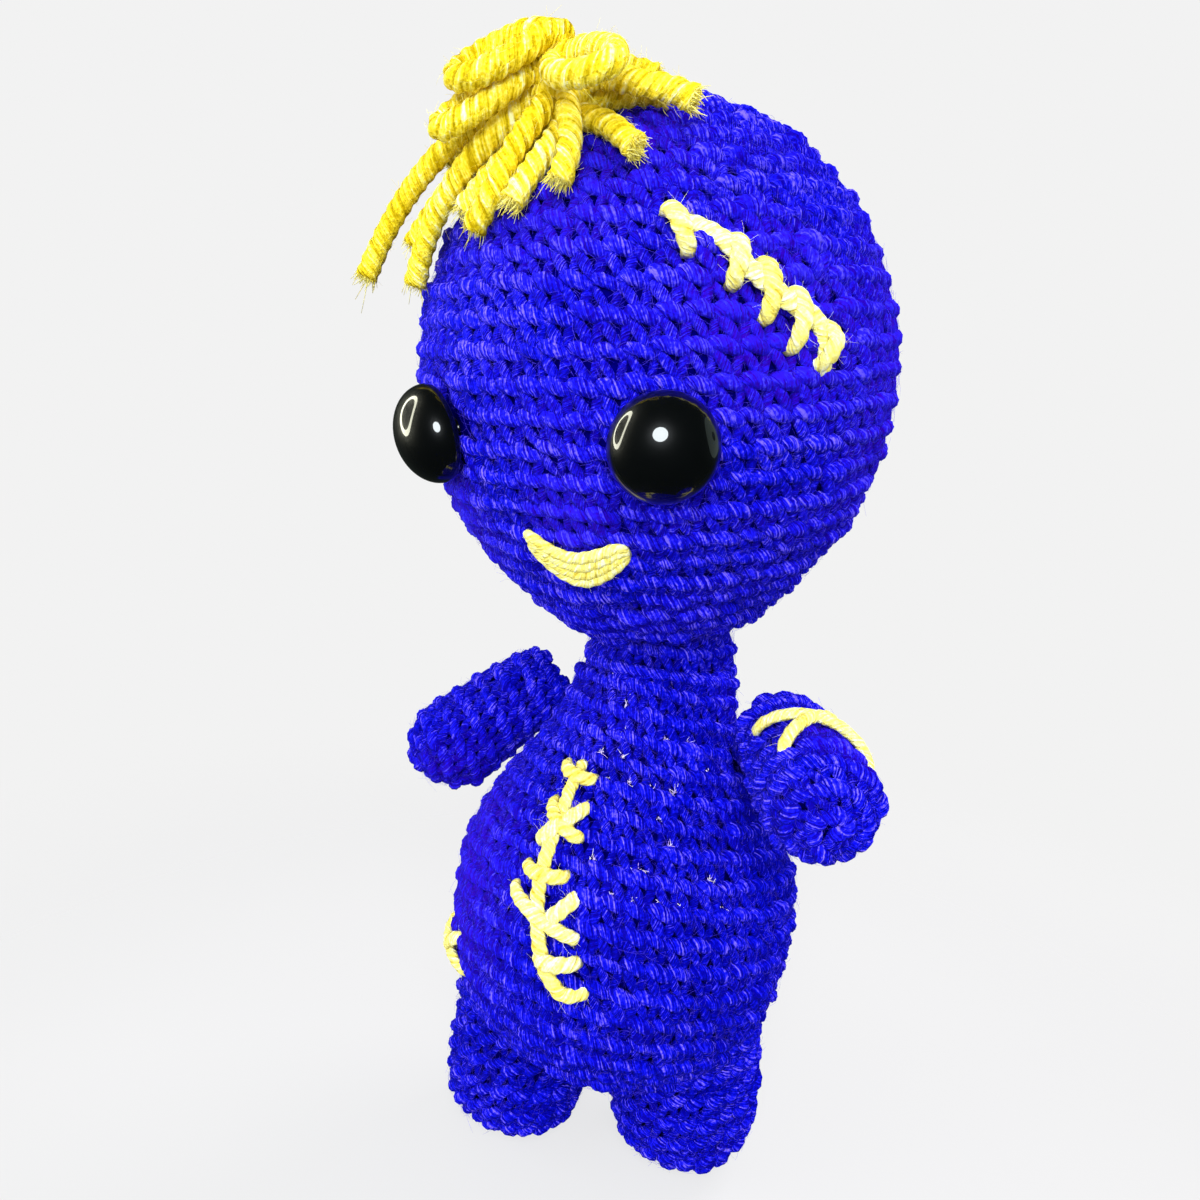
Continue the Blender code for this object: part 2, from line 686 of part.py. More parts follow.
def floor_cutter(name, parent):
    """A block under the floor, which cuts the soles flat."""
    shape = bmesh.new()
    bmesh.ops.create_cube(shape, size=1.0)
    width = 2 * (LEG_SPREAD + LEG_RADIUS + CUT_OVERRUN)
    for vertex in shape.verts:
        vertex.co.x *= width
        vertex.co.y *= width
        vertex.co.z = vertex.co.z * CUT_OVERRUN - CUT_OVERRUN / 2
    mesh = bpy.data.meshes.new(name)
    shape.to_mesh(mesh)
    shape.free()
    return add_object(name, mesh, parent)


def eye_profile():
    """Half outline of a safety eye, from the top of its dome to the end of its post."""
    dome = [
        (EYE_RADIUS * math.cos(angle), EYE_EDGE_HEIGHT + EYE_DOME_HEIGHT * math.sin(angle))
        for angle in (math.pi / 2 * (1 - step / INNER_STEPS) for step in range(INNER_STEPS + 1))
    ]
    dome[0] = (0.0, dome[0][1])
    back_edge = EYE_RADIUS - EYE_EDGE_HEIGHT / 2
    edge_drop = HEAD_RADIUS - math.sqrt(HEAD_RADIUS**2 - back_edge**2)
    points = dome + [(back_edge, -edge_drop), (EYE_POST_RADIUS, 0.0)]
    start = COVER_THICKNESS + SEAT_GAP
    for rib in range(EYE_RIB_COUNT):
        top = -(start + EYE_RIB_PITCH * rib)
        points += [
            (EYE_POST_RADIUS, top),
            (EYE_RIB_RADIUS, top - EYE_RIB_PITCH / 4),
            (EYE_POST_RADIUS, top - EYE_RIB_PITCH / 3),
        ]
    end = start + EYE_RIB_PITCH * EYE_RIB_COUNT
    points += [(EYE_POST_RADIUS, -end), (EYE_POST_RADIUS / 2, -end - EYE_POST_RADIUS / 2)]
    points.append((0.0, -end - EYE_POST_RADIUS / 2))
    return points, end + EYE_POST_RADIUS / 2


def build_eye(side, frames, cover, filling):
    """A safety eye and its washer, with their holes in the cover and the filling."""
    profile, post_length = eye_profile()
    spot = EYE_PLACES[side]
    place, turn = head_frame(spot["longitude_deg"], spot["latitude_deg"], SEAT_GAP)
    frame = add_empty(side + "_eye_frame", frames["head_centre"], place, turn)
    mesh = turned_mesh(side + "_eye", profile, EYE_SEGMENTS)
    add_object(side + "_eye", mesh, frame, EYE_BLACK, roughness=0.08, coat=1.0)

    bore = EYE_POST_RADIUS + SEAT_GAP
    bend = WASHER_RADIUS**2 / (2 * (HEAD_RADIUS - COVER_THICKNESS))
    rib_space = EYE_RIB_PITCH * 2 / 3 - 2 * SEAT_GAP
    top = -(COVER_THICKNESS + SEAT_GAP + bend + SEAT_GAP)
    first_rib = COVER_THICKNESS + SEAT_GAP + EYE_RIB_PITCH / 3 + SEAT_GAP
    top = min(top, -first_rib)
    bottom = top - min(WASHER_THICKNESS, rib_space)
    ring = [(bore, top), (WASHER_RADIUS, top), (WASHER_RADIUS, bottom), (bore, bottom)]
    mesh = turned_mesh(side + "_eye_washer", ring, EYE_SEGMENTS, closed=True)
    add_object(side + "_eye_washer", mesh, frame, WASHER_WHITE, roughness=0.45)

    for piece, radius, depth in (
        (cover, EYE_RIB_RADIUS + SEAT_GAP, post_length),
        (filling, WASHER_RADIUS + SEAT_GAP, post_length + SEAT_GAP),
    ):
        name = side + "_eye_hole_" + piece.name
        bar = [(0.0, CUT_OVERRUN), (radius, CUT_OVERRUN), (radius, -depth), (0.0, -depth)]
        cutter = add_object(name, turned_mesh(name, bar, EYE_SEGMENTS), frame)
        combine(piece, cutter, "DIFFERENCE")


def build_embroidery(frames):
    """The mouth, the scars on the forehead and belly, and the crosses on arm and hip."""
    centre, torso = frames["head_centre"], frames["torso"]
    lift = SEAT_GAP + SCAR_YARN_RADIUS

    route = smooth_route(FOREHEAD_SCAR_ANGLES, 2)
    spine = [head_point(longitude, latitude, lift) for longitude, latitude in route]
    stitches = [
        stitch_across(head_point, start, end, SCAR_YARN_RADIUS)
        for start, end in FOREHEAD_STITCH_ANGLES
    ]
    embroider("forehead_scar", centre, spine, stitches, SCAR_YARN_RADIUS, LEMON_YARN)

    route = smooth_route(BELLY_SCAR_SHARES, 2)
    spine = [torso_point(angle, share * TORSO_RIM_HEIGHT, lift) for angle, share in route]
    stitches = [
        stitch_across(torso_place, start, end, SCAR_YARN_RADIUS)
        for start, end in BELLY_STITCH_SHARES
    ]
    embroider("belly_scar", torso, spine, stitches, SCAR_YARN_RADIUS, LEMON_YARN)

    crosses = [
        stitch_across(torso_place, start, end, SCAR_YARN_RADIUS) for start, end in HIP_STITCH_SHARES
    ]
    embroider("hip_cross", torso, None, crosses, SCAR_YARN_RADIUS, LEMON_YARN)

    crosses = [
        stitch_across(arm_place, start, end, SCAR_YARN_RADIUS) for start, end in ARM_STITCH_SHARES
    ]
    embroider("arm_cross", frames["left_arm"], None, crosses, SCAR_YARN_RADIUS, LEMON_YARN)

    build_mouth(centre)


def build_mouth(centre):
    """The mouth: strands laid side by side from corner to corner, bowed downwards."""
    lift = SEAT_GAP + MOUTH_YARN_RADIUS
    route = smooth_route(MOUTH_ANGLES, 3)
    strands = []
    for strand in range(MOUTH_STRANDS):
        rise = math.degrees(MOUTH_YARN_RADIUS * MOUTH_RISE_SHARE * strand / HEAD_CHIN_DROP)
        points = []
        for index, (longitude, latitude) in enumerate(route):
            spread = math.sin(math.pi * index / (len(route) - 1))
            points.append(head_point(longitude, latitude + rise * (0.35 + 0.65 * spread), lift))
        strands.append(points)
    embroider("mouth", centre, strands[0], strands[1:], MOUTH_YARN_RADIUS, LEMON_YARN)


def hair_point(heading_deg, reach, lift, bend_deg=0.0, share=0.0):
    """A point of hair: out from the knot along the head, at a lift off its surface."""
    heading = math.radians(heading_deg + bend_deg * share)
    knot, turn = head_frame(HAIR_KNOT_LONGITUDE_DEG, HAIR_KNOT_LATITUDE_DEG, 0.0)
    tangent = turn @ Vector((math.sin(heading), -math.cos(heading), 0))
    outward = knot.normalized()
    angle = reach / HEAD_RADIUS
    direction = outward * math.cos(angle) + tangent * math.sin(angle)
    direction.normalize()
    flat = math.hypot(direction.x, direction.y)
    half_height, fullness = head_half(direction.z >= 0)
    spread = (flat / HEAD_RADIUS) ** fullness + (abs(direction.z) / half_height) ** fullness
    return direction * (spread ** (-1 / fullness) + lift)


def build_hair(frames):
    """The tuft: a knot on the crown, strands in layers out of it, and yarn loops."""
    centre = frames["head_centre"]
    place, turn = head_frame(HAIR_KNOT_LONGITUDE_DEG, HAIR_KNOT_LATITUDE_DEG, SEAT_GAP)
    frame = add_empty("hair_knot_frame", centre, place, turn)
    shares = [-share for share in crowded(4)[::-1]] + crowded(4)
    heights = [HAIR_KNOT_HEIGHT / 2 * (1 + share) for share in shares]
    profile = [(knot_radius(height), height) for height in heights]
    mesh = turned_mesh("hair_knot", profile, EYE_SEGMENTS)
    add_object("hair_knot", mesh, frame, HAIR_YELLOW)

    for index, strand in enumerate(HAIR_STRAND_SHARES):
        name = "hair_strand_" + format(index + 1, "02d")
        add_object(name, yarn_curve(name, strand_points(strand), HAIR_RADIUS), centre, HAIR_YELLOW)
    for index, loop in enumerate(HAIR_LOOP_SHARES):
        name = "hair_loop_" + str(index + 1)
        add_object(name, yarn_curve(name, loop_points(loop), HAIR_RADIUS), frame, HAIR_YELLOW)


def knot_radius(height):
    """Radius of the knot at a height over its foot."""
    half = HAIR_KNOT_HEIGHT / 2
    return superellipse(HAIR_KNOT_RADIUS, half, HAIR_KNOT_FULLNESS, abs(height - half))


def layer_lift(layer):
    """Height of a layer of hair's middle over the head."""
    return SEAT_GAP + HAIR_RADIUS + (2 * HAIR_RADIUS + HAIR_GAP) * layer


def strand_points(strand):
    """A strand's route: level off the knot, then falling to its tip."""
    base = layer_lift(strand["layer"])
    tip = SEAT_GAP + HAIR_RADIUS * strand["tip"]
    spread = (HAIR_KNOT_RADIUS + 2 * SEAT_GAP) / (HEAD_RADIUS + base)
    start = HEAD_RADIUS * math.asin(spread)
    end = strand["reach"] * HEAD_RADIUS
    points = []
    for step in range(9):
        share = step / 8
        reach = start + (end - start) * share
        lift = base + (tip - base) * share**HAIR_FALL_POWER
        points.append(hair_point(strand["heading"], reach, lift, strand["bend"], share))
    return points


def loop_points(loop):
    """A loop's route in the knot's frame: a ring that leans out, with its ends together."""
    heading, tilt, turn = (math.radians(loop[key]) for key in ("heading", "lean", "turn"))
    away = Vector((math.sin(heading), -math.cos(heading), 0))
    outward = Vector((0, 0, 1))
    lean = away * math.sin(tilt) + outward * math.cos(tilt)
    across = Vector((math.cos(heading), math.sin(heading), 0))
    across = Matrix.Rotation(turn, 3, lean) @ across
    if loop["seat"] == "top":
        seat = outward * (HAIR_KNOT_HEIGHT + HAIR_RADIUS + 2 * HAIR_GAP)
    else:
        lift = layer_lift(HAIR_LAYERS) - SEAT_GAP
        edge = HAIR_RADIUS * abs(math.cos(tilt))
        seat = away * (knot_radius(lift) + SEAT_GAP + edge) + outward * lift
    half_length, half_width = (loop[key] * HAIR_RADIUS / 2 for key in ("length", "width"))
    opening = math.asin((HAIR_RADIUS + SEAT_GAP) / half_width)
    points = []
    for step in range(17):
        angle = opening + (math.tau - 2 * opening) * step / 16
        rise = half_length * (math.cos(opening) - math.cos(angle))
        points.append(seat + lean * rise + across * (half_width * math.sin(angle)))
    return points


def centre_on_floor(doll):
    """Move the doll so that the middle of its box stands over the origin."""
    bpy.context.view_layer.update()
    graph = bpy.context.evaluated_depsgraph_get()
    corners = []
    for piece in bpy.data.objects:
        if piece.type in {"MESH", "CURVE"} and not piece.hide_render:
            seen = piece.evaluated_get(graph)
            mesh = seen.to_mesh()
            corners += [seen.matrix_world @ vertex.co for vertex in mesh.vertices]
            seen.to_mesh_clear()
    middle_x = (min(c.x for c in corners) + max(c.x for c in corners)) / 2
    middle_y = (min(c.y for c in corners) + max(c.y for c in corners)) / 2
    doll.location = (-middle_x, -middle_y, 0)
    bpy.context.view_layer.update()


def main():
    """Model the whole doll."""
    clear_scene()
    frames = build_frames()
    head_pieces = build_head(frames)
    build_neck(frames)
    torso_pieces = build_torso(frames)
    for side in ARM_POSES:
        build_arm(side, frames, torso_pieces)
    for side in LEG_STEPS:
        build_leg(side, frames)
    for side in EYE_PLACES:
        build_eye(side, frames, *head_pieces)
    build_embroidery(frames)
    build_hair(frames)
    centre_on_floor(frames["doll"])
    for name in ("neck", "head", "left_arm", "right_arm"):
        print(name, [round(value, 6) for value in frames[name].matrix_world.translation])


main()
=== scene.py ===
"""Looks of the crocheted doll: stitches, fuzz, yarn hair, embroidery, eyes and studio.

Every crocheted piece is laid stitch by stitch on the outline that the doll's part has, in
metres, so that it sits where its cover is. Shapes are numpy grids; finishes are procedural.
"""

from __future__ import annotations

import json
import logging
import math
from dataclasses import dataclass, field
from enum import Enum
from typing import Callable, Sequence

import bpy
import numpy as np
from mathutils import Matrix, Vector

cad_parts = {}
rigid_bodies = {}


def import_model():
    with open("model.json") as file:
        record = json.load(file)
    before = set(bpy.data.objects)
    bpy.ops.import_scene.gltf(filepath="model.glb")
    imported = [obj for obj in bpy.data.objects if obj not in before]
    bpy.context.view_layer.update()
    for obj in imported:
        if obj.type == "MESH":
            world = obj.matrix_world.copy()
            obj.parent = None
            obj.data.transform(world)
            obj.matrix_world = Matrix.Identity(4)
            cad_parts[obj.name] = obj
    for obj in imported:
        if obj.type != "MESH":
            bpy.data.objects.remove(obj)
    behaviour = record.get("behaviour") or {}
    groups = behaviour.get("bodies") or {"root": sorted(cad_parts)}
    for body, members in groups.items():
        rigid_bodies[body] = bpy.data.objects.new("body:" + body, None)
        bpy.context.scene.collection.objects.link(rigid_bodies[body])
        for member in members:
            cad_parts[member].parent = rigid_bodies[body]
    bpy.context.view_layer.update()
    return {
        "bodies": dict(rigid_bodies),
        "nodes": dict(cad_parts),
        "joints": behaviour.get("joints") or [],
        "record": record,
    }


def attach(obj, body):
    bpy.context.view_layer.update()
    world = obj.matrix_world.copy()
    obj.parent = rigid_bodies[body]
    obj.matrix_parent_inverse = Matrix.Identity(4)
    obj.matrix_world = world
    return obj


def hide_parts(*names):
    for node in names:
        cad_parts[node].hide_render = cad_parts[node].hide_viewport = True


LOG = logging.getLogger("doll")
TAU = 2 * math.pi

# Types: a colour or a place, points with their normals, and a test that says which points stay
Triple = tuple[float, float, float]
Pair = tuple[np.ndarray, np.ndarray]
Keep = Callable[[np.ndarray], np.ndarray]


class Side(Enum):
    """The doll's own left and right."""

    LEFT = "left"
    RIGHT = "right"

    @property
    def sign(self) -> int:
        """Direction of this side along X."""
        return 1 if self is Side.LEFT else -1


class Seat(Enum):
    """Where a hair loop's two ends leave the knot."""

    TOP = "top"
    SIDE = "side"


class Run(Enum):
    """Which way an outline runs along its own +Z, from the pole the crochet starts at."""

    DOWN = -1
    UP = 1


# Shader maths


class Signal:
    """A value in a shader, whose arithmetic adds Math nodes to its graph."""

    def __init__(self, graph: "Graph", socket: bpy.types.NodeSocket) -> None:
        """Wrap one output socket.

        Args:
            graph: the graph that the socket belongs to.
            socket: the output socket.
        """
        self.graph = graph
        self.socket = socket

    def _math(self, operation: str, first: object, second: object, clamp: bool = False) -> "Signal":
        """Add one Math node, as operation(first, second)."""
        return self.graph.add(
            "ShaderNodeMath", {"operation": operation, "use_clamp": clamp}, {0: first, 1: second}
        )

    def __add__(self, other: object) -> "Signal":
        """Sum."""
        return self._math("ADD", self, other)

    __radd__ = __add__

    def __sub__(self, other: object) -> "Signal":
        """Difference."""
        return self._math("SUBTRACT", self, other)

    def __rsub__(self, other: object) -> "Signal":
        """Difference from a number."""
        return self._math("SUBTRACT", other, self)

    def __mul__(self, other: object) -> "Signal":
        """Product."""
        return self._math("MULTIPLY", self, other)

    __rmul__ = __mul__

    def clamped(self) -> "Signal":
        """The value held between 0 and 1."""
        return self._math("ADD", self, 0.0, clamp=True)

    def between(self, low: float, high: float) -> "Signal":
        """The value's place between two numbers, smoothed and held from 0 to 1."""
        return self.graph.add(
            "ShaderNodeMapRange",
            {"interpolation_type": "SMOOTHSTEP"},
            {"Value": self, "From Min": low, "From Max": high},
        )


class Graph:
    """The node graph of one material, round its Principled shader."""

    def __init__(self, name: str) -> None:
        """Make an empty material.

        Args:
            name: the material's name.
        """
        self.material = bpy.data.materials.new(name)
        self.material.use_nodes = True
        self.tree = self.material.node_tree
        self.shader = self.tree.nodes["Principled BSDF"]
        self.output = self.tree.nodes["Material Output"]

    def node(
        self, kind: str, settings: dict[str, object] | None = None, inputs: dict | None = None
    ) -> bpy.types.Node:
        """Add a node, set its settings first and then its sockets' values or links.

        Args:
            kind: the node's type name.
            settings: attributes such as operation, or stops for a ramp.
            inputs: values, Signals or sockets by input name or place.

        Returns:
            The new node.
        """
        made = self.tree.nodes.new(kind)
        for key, value in (settings or {}).items():
            if key == "stops":
                self._set_stops(made, value)
            else:
                setattr(made, key, value)
        for key, value in (inputs or {}).items():
            self.feed(made.inputs[key], value)
        return made

    def add(
        self, kind: str, settings: dict[str, object] | None = None, inputs: dict | None = None
    ) -> Signal:
        """Add a node and wrap its first output."""
        return Signal(self, self.node(kind, settings, inputs).outputs[0])

    def feed(self, socket: bpy.types.NodeSocket, value: object) -> None:
        """Link a Signal or socket into an input, or set its plain value."""
        if isinstance(value, Signal):
            self.tree.links.new(value.socket, socket)
        elif isinstance(value, bpy.types.NodeSocket):
            self.tree.links.new(value, socket)
        elif isinstance(value, (tuple, list)) and len(value) == 3 and socket.type == "RGBA":
            socket.default_value = (*value, 1.0)
        else:
            socket.default_value = value

    @staticmethod
    def _set_stops(ramp: bpy.types.Node, stops: Sequence[tuple[float, tuple]]) -> None:
        """Put stops of (place, colour) on a colour ramp."""
        elements = ramp.color_ramp.elements
        while len(elements) < len(stops):
            elements.new(0.5)
        for element, (place, colour) in zip(elements, stops):
            element.position = place
            element.color = (*colour, 1.0)

    def mix_colour(self, mask: object, low: object, high: object) -> Signal:
        """Blend two colours by a mask."""
        made = self.node("ShaderNodeMix", {"data_type": "RGBA"})
        self.feed(made.inputs["Factor"], mask)
        sockets = {socket.identifier: socket for socket in made.inputs}
        self.feed(sockets["A_Color"], low)
        self.feed(sockets["B_Color"], high)
        outputs = {socket.identifier: socket for socket in made.outputs}
        return Signal(self, outputs["Result_Color"])

    def attribute(self, name: str) -> Signal:
        """One number stored on the mesh, by its name."""
        made = self.node("ShaderNodeAttribute", {"attribute_name": name})
        return Signal(self, made.outputs["Fac"])

    def coordinates(self, which: str) -> bpy.types.NodeSocket:
        """Object coordinates or the UV map."""
        return self.node("ShaderNodeTexCoord").outputs[which]

    def split(self, vector: object) -> tuple[Signal, Signal, Signal]:
        """The three parts of a vector."""
        made = self.node("ShaderNodeSeparateXYZ", None, {0: vector})
        return tuple(Signal(self, socket) for socket in made.outputs)

    def join(self, x: object, y: object, z: object) -> Signal:
        """A vector of three parts."""
        return self.add("ShaderNodeCombineXYZ", None, {0: x, 1: y, 2: z})

    def noise(self, vector: object, scale: float, detail: float = 3.0) -> Signal:
        """Soft noise from about 0 to 1."""
        return self.add(
            "ShaderNodeTexNoise", None, {"Vector": vector, "Scale": scale, "Detail": detail}
        )

    def distance(self, place: object, centre: Triple = (0, 0, 0)) -> Signal:
        """How far a place lies from a centre."""
        made = self.node(
            "ShaderNodeVectorMath", {"operation": "DISTANCE"}, {0: place, 1: centre}
        )
        return Signal(self, made.outputs["Value"])

    def bump(self, height: object, strength: float, distance: float) -> None:
        """Send a height through a Bump node to the shader's normal."""
        made = self.node(
            "ShaderNodeBump", None, {"Height": height, "Strength": strength, "Distance": distance}
        )
        self.feed(self.shader.inputs["Normal"], made.outputs["Normal"])

    def set_shader(self, **sockets: object) -> None:
        """Set sockets of the Principled shader, with spaces written as underscores."""
        for name, value in sockets.items():
            self.feed(self.shader.inputs[name.replace("_", " ")], value)


# Finishes


@dataclass(frozen=True)
class PaintedSheenSpot:
    """A round place on the doll painted with violet sheen."""

    centre: Triple
    reach: float


@dataclass(frozen=True)
class YarnFinish:
    """Fuzzy plied yarn: colours from painted shading to painted highlight, fibre streaks and soft
    patches.

    The mask is the stored light number + streaks + specks + tone + a rise with height. The stored
    light number is painted light: strands that stand out, front loops and ply ridges are drawn
    towards the painted highlight colours, and strands behind and ply grooves towards the darkest,
    painted shading colour. The streaks are noise drawn out along the plies, whose slant is the UV
    map's across plus along times the twist; they are fibre texture, and where they lift the mask
    they reach the painted highlight colours too. Between two heights the mask is raised, so that
    the yarn is paler towards the top of the doll.
    """

    name: str
    # The darkest colour is painted shading, the body is the yarn's own colour, and the two lightest are
    # painted highlights.
    painted_shade: Triple
    body: Triple
    painted_highlight: Triple
    glow: Triple
    # Colour that the random soft patches and the spots of painted violet sheen mix towards.
    patch_and_sheen_colour: Triple
    twist: float = 0.58
    streaks: float = 15.0
    streak_share: float = 2.5
    speck_share: float = 1.2
    painted_light_share: float = 0.60
    tone_share: float = 0.20
    patch_share: float = 0.25
    # How much paler the yarn is drawn towards the top of the doll, and between which heights.
    paler_upward_share: float = 0.0
    paler_upward_from: float = 0.05
    paler_upward_to: float = 0.14
    bump_distance: float = 0.00040
    # Round spots of painted violet sheen, and how strongly they show.
    painted_sheen_spots: tuple[PaintedSheenSpot, ...] = ()
    painted_sheen_share: float = 0.75

    def material(self) -> bpy.types.Material:
        """Build the material.

        Returns:
            The finished material.
        """
        graph = Graph(self.name)
        across, along, _ = graph.split(graph.coordinates("UV"))
        # The stored light number read here is painted light: low values give painted shading, high values
        # painted highlight.
        depth, tone = graph.attribute("depth"), graph.attribute("tone")
        slant = (across + along * self.twist) * self.streaks
        drawn = graph.noise(graph.join(slant, along * 1.1, tone * 37.0), 1.0, 2.0)
        place = graph.coordinates("Object")
        specks = graph.noise(place, 1900.0, 3.0)
        patch = graph.noise(place, 55.0, 2.0).between(0.35, 0.7)
        fibre = (drawn - 0.5) * self.streak_share + (specks - 0.5) * self.speck_share
        # Between two heights the mask is raised, so the yarn is paler towards the top of the doll; the
        # random patches also show more there.
        paler_upward = graph.split(place)[2].between(self.paler_upward_from, self.paler_upward_to)
        mask = depth * self.painted_light_share + fibre + (tone - 0.5) * self.tone_share
        mask = (mask + paler_upward * self.paler_upward_share + (0.14 - self.paler_upward_share)).clamped()
        # The ramp runs from the painted shading colour through the yarn's own colour to two painted
        # highlight colours.
        stops = ((0.12, self.painted_shade), (0.45, self.body), (0.70, self.painted_highlight), (0.98, self.glow))
        colour = graph.add("ShaderNodeValToRGB", {"stops": stops}, {0: mask})
        # The colour mixes towards violet in random soft patches, stronger towards the top of the doll,
        # and in round spots of painted violet sheen.
        tint = patch * (paler_upward * 0.8 + 0.2) * self.patch_share
        for sheen_spot in self.painted_sheen_spots:
            near = graph.distance(place, sheen_spot.centre).between(sheen_spot.reach, sheen_spot.reach * 0.3)
            tint = tint + near * self.painted_sheen_share
        violet = graph.mix_colour(mask, self.patch_and_sheen_colour, self.painted_highlight)
        colour = graph.mix_colour(tint.clamped(), colour, violet)
        graph.set_shader(Base_Color=colour, Roughness=0.9, Specular_IOR_Level=0.05)
        graph.bump(fibre, 0.9, self.bump_distance)
        return graph.material


@dataclass(frozen=True)
class FibreFinish:
    """Single loose fibres, too thin to show more than a little change of tone."""

    name: str
    dull: Triple
    bright: Triple

    def material(self) -> bpy.types.Material:
        """Build the material: each fibre has its own tone between two colours."""
        graph = Graph(self.name)
        graph.set_shader(
            Base_Color=graph.mix_colour(graph.attribute("tone"), self.dull, self.bright),
            Roughness=0.8,
            Specular_IOR_Level=0.1,
        )
        return graph.material


@dataclass(frozen=True)
class ShadeSheetFinish:
    """A dark sheet under the stitches, which paints the shading seen in the holes between them."""

    name: str
    dark: Triple
    light: Triple

    def material(self) -> bpy.types.Material:
        """Build the material: dark painted shading with soft blotches."""
        graph = Graph(self.name)
        place = graph.coordinates("Object")
        blotch = graph.noise(place, 420.0, 4.0).between(0.35, 0.75)
        graph.set_shader(
            Base_Color=graph.mix_colour(blotch, self.dark, self.light),
            Roughness=0.95,
            Specular_IOR_Level=0.0,
        )
        graph.bump(graph.noise(place, 900.0), 0.7, 0.0004)
        return graph.material


@dataclass(frozen=True)
class MouldedFinish:
    """Moulded plastic, glossy or plain, with the faintest unevenness."""

    name: str
    colour: Triple
    roughness: float
    coat: float
    sheen: float = 0.5

    def material(self) -> bpy.types.Material:
        """Build the material: fine mottling in colour and gloss."""
        graph = Graph(self.name)
        place = graph.coordinates("Object")
        mottle = graph.noise(place, 500.0)
        paler = tuple(value * 1.15 + 0.0005 for value in self.colour)
        graph.set_shader(
            Base_Color=graph.mix_colour(mottle, self.colour, paler),
            Roughness=mottle * 0.03 + self.roughness,
            Specular_IOR_Level=self.sheen,
            Coat_Weight=self.coat,
            Coat_Roughness=0.02,
        )
        return graph.material


@dataclass(frozen=True)
class FloorFinish:
    """A pale floor, lit from within as on a light table, that fades out into the backdrop."""

    name: str
    colour: Triple
    glow: float
    fade_start: float
    fade_end: float

    def material(self) -> bpy.types.Material:
        """Build the material: alpha falls with the distance from the doll."""
        graph = Graph(self.name)
        place = graph.coordinates("Object")
        fade = graph.distance(place).between(self.fade_start, self.fade_end)
        grain = graph.noise(place, 60.0)
        paler = tuple(min(value * 1.01, 1.0) for value in self.colour)
        graph.set_shader(
            Base_Color=graph.mix_colour(grain, self.colour, paler),
            Roughness=0.9,
            Specular_IOR_Level=0.0,
            Emission_Color=(1.0, 1.0, 1.0),
            Emission_Strength=self.glow,
            Alpha=1 - fade,
        )
        return graph.material


BLUE_YARN = YarnFinish(
    "blue_yarn_finish",
    # Its darkest colour is painted shading and its two lightest are painted highlights; its middle colour
    # is the yarn's own.
    painted_shade=(0.0004, 0.0002, 0.32),
    body=(0.0012, 0.0036, 0.66),
    painted_highlight=(0.017, 0.016, 0.96),
    glow=(0.22, 0.15, 1.0),
    patch_and_sheen_colour=(0.036, 0.0, 0.46),
    paler_upward_share=0.13,
    # Round spots of painted violet sheen.
    painted_sheen_spots=(
        PaintedSheenSpot((0.000, -0.030, 0.174), 0.026),
        PaintedSheenSpot((0.031, -0.025, 0.152), 0.020),
        PaintedSheenSpot((0.040, 0.012, 0.150), 0.036),
        PaintedSheenSpot((-0.030, -0.022, 0.126), 0.024),
        PaintedSheenSpot((0.004, -0.036, 0.117), 0.014),
        PaintedSheenSpot((-0.028, -0.018, 0.055), 0.030),
        PaintedSheenSpot((0.040, 0.000, 0.088), 0.012),
    ),
)
# Painted shading: a dark sheet under the stitches, seen through their holes.
PAINTED_SHADE_SHEET = ShadeSheetFinish("blue_painted_shade_finish", (0.0004, 0.0, 0.09), (0.0008, 0.0002, 0.20))
BLUE_FUZZ = FibreFinish("blue_fuzz_finish", (0.006, 0.003, 0.56), (0.11, 0.07, 0.98))
PALE_FIBRE = FibreFinish("pale_fibre_finish", (0.55, 0.35, 0.90), (1.0, 0.97, 1.0))
# Hair yarn: its darkest colour is painted shading and its two lightest are painted highlights.
HAIR_YARN = YarnFinish(
    "hair_yarn_finish",
    painted_shade=(0.46, 0.31, 0.0),
    body=(0.86, 0.65, 0.012),
    painted_highlight=(1.0, 0.85, 0.10),
    glow=(1.0, 1.0, 0.58),
    patch_and_sheen_colour=(0.80, 0.58, 0.0),
    twist=-0.72,
    streaks=9.0,
    streak_share=1.8,
    speck_share=0.9,
    painted_light_share=0.75,
)
HAIR_FUZZ = FibreFinish("hair_fuzz_finish", (0.75, 0.60, 0.03), (1.0, 0.95, 0.30))
# Lemon yarn: its darkest colour is painted shading and its two lightest are painted highlights.
LEMON_YARN = YarnFinish(
    "lemon_yarn_finish",
    painted_shade=(0.62, 0.44, 0.03),
    body=(0.98, 0.84, 0.16),
    painted_highlight=(1.0, 0.93, 0.30),
    glow=(1.0, 1.0, 0.70),
    patch_and_sheen_colour=(0.95, 0.78, 0.08),
    twist=-0.62,
    streaks=9.0,
    streak_share=1.5,
    speck_share=0.8,
    painted_light_share=0.85,
)
LEMON_FUZZ = FibreFinish("lemon_fuzz_finish", (0.85, 0.70, 0.15), (1.0, 0.98, 0.60))
EYE_BLACK = MouldedFinish("eye_black_finish", (0.0006, 0.0009, 0.0011), 0.30, 1.0, 0.10)
WASHER_WHITE = MouldedFinish("washer_white_finish", (0.78, 0.78, 0.76), 0.45, 0.0)
PALE_FLOOR = FloorFinish("pale_floor_finish", (0.13, 0.13, 0.13), 0.705, 0.09, 0.30)


# Shapes


@dataclass
class Patch:
    """Points, faces, UV map and per-point numbers of part of a mesh."""

    points: np.ndarray
    faces: list[np.ndarray]
    uv: np.ndarray
    # Painted light number: low where shading is painted, high where highlight is painted.
    depth: np.ndarray
    tone: np.ndarray
    slot: int = 0


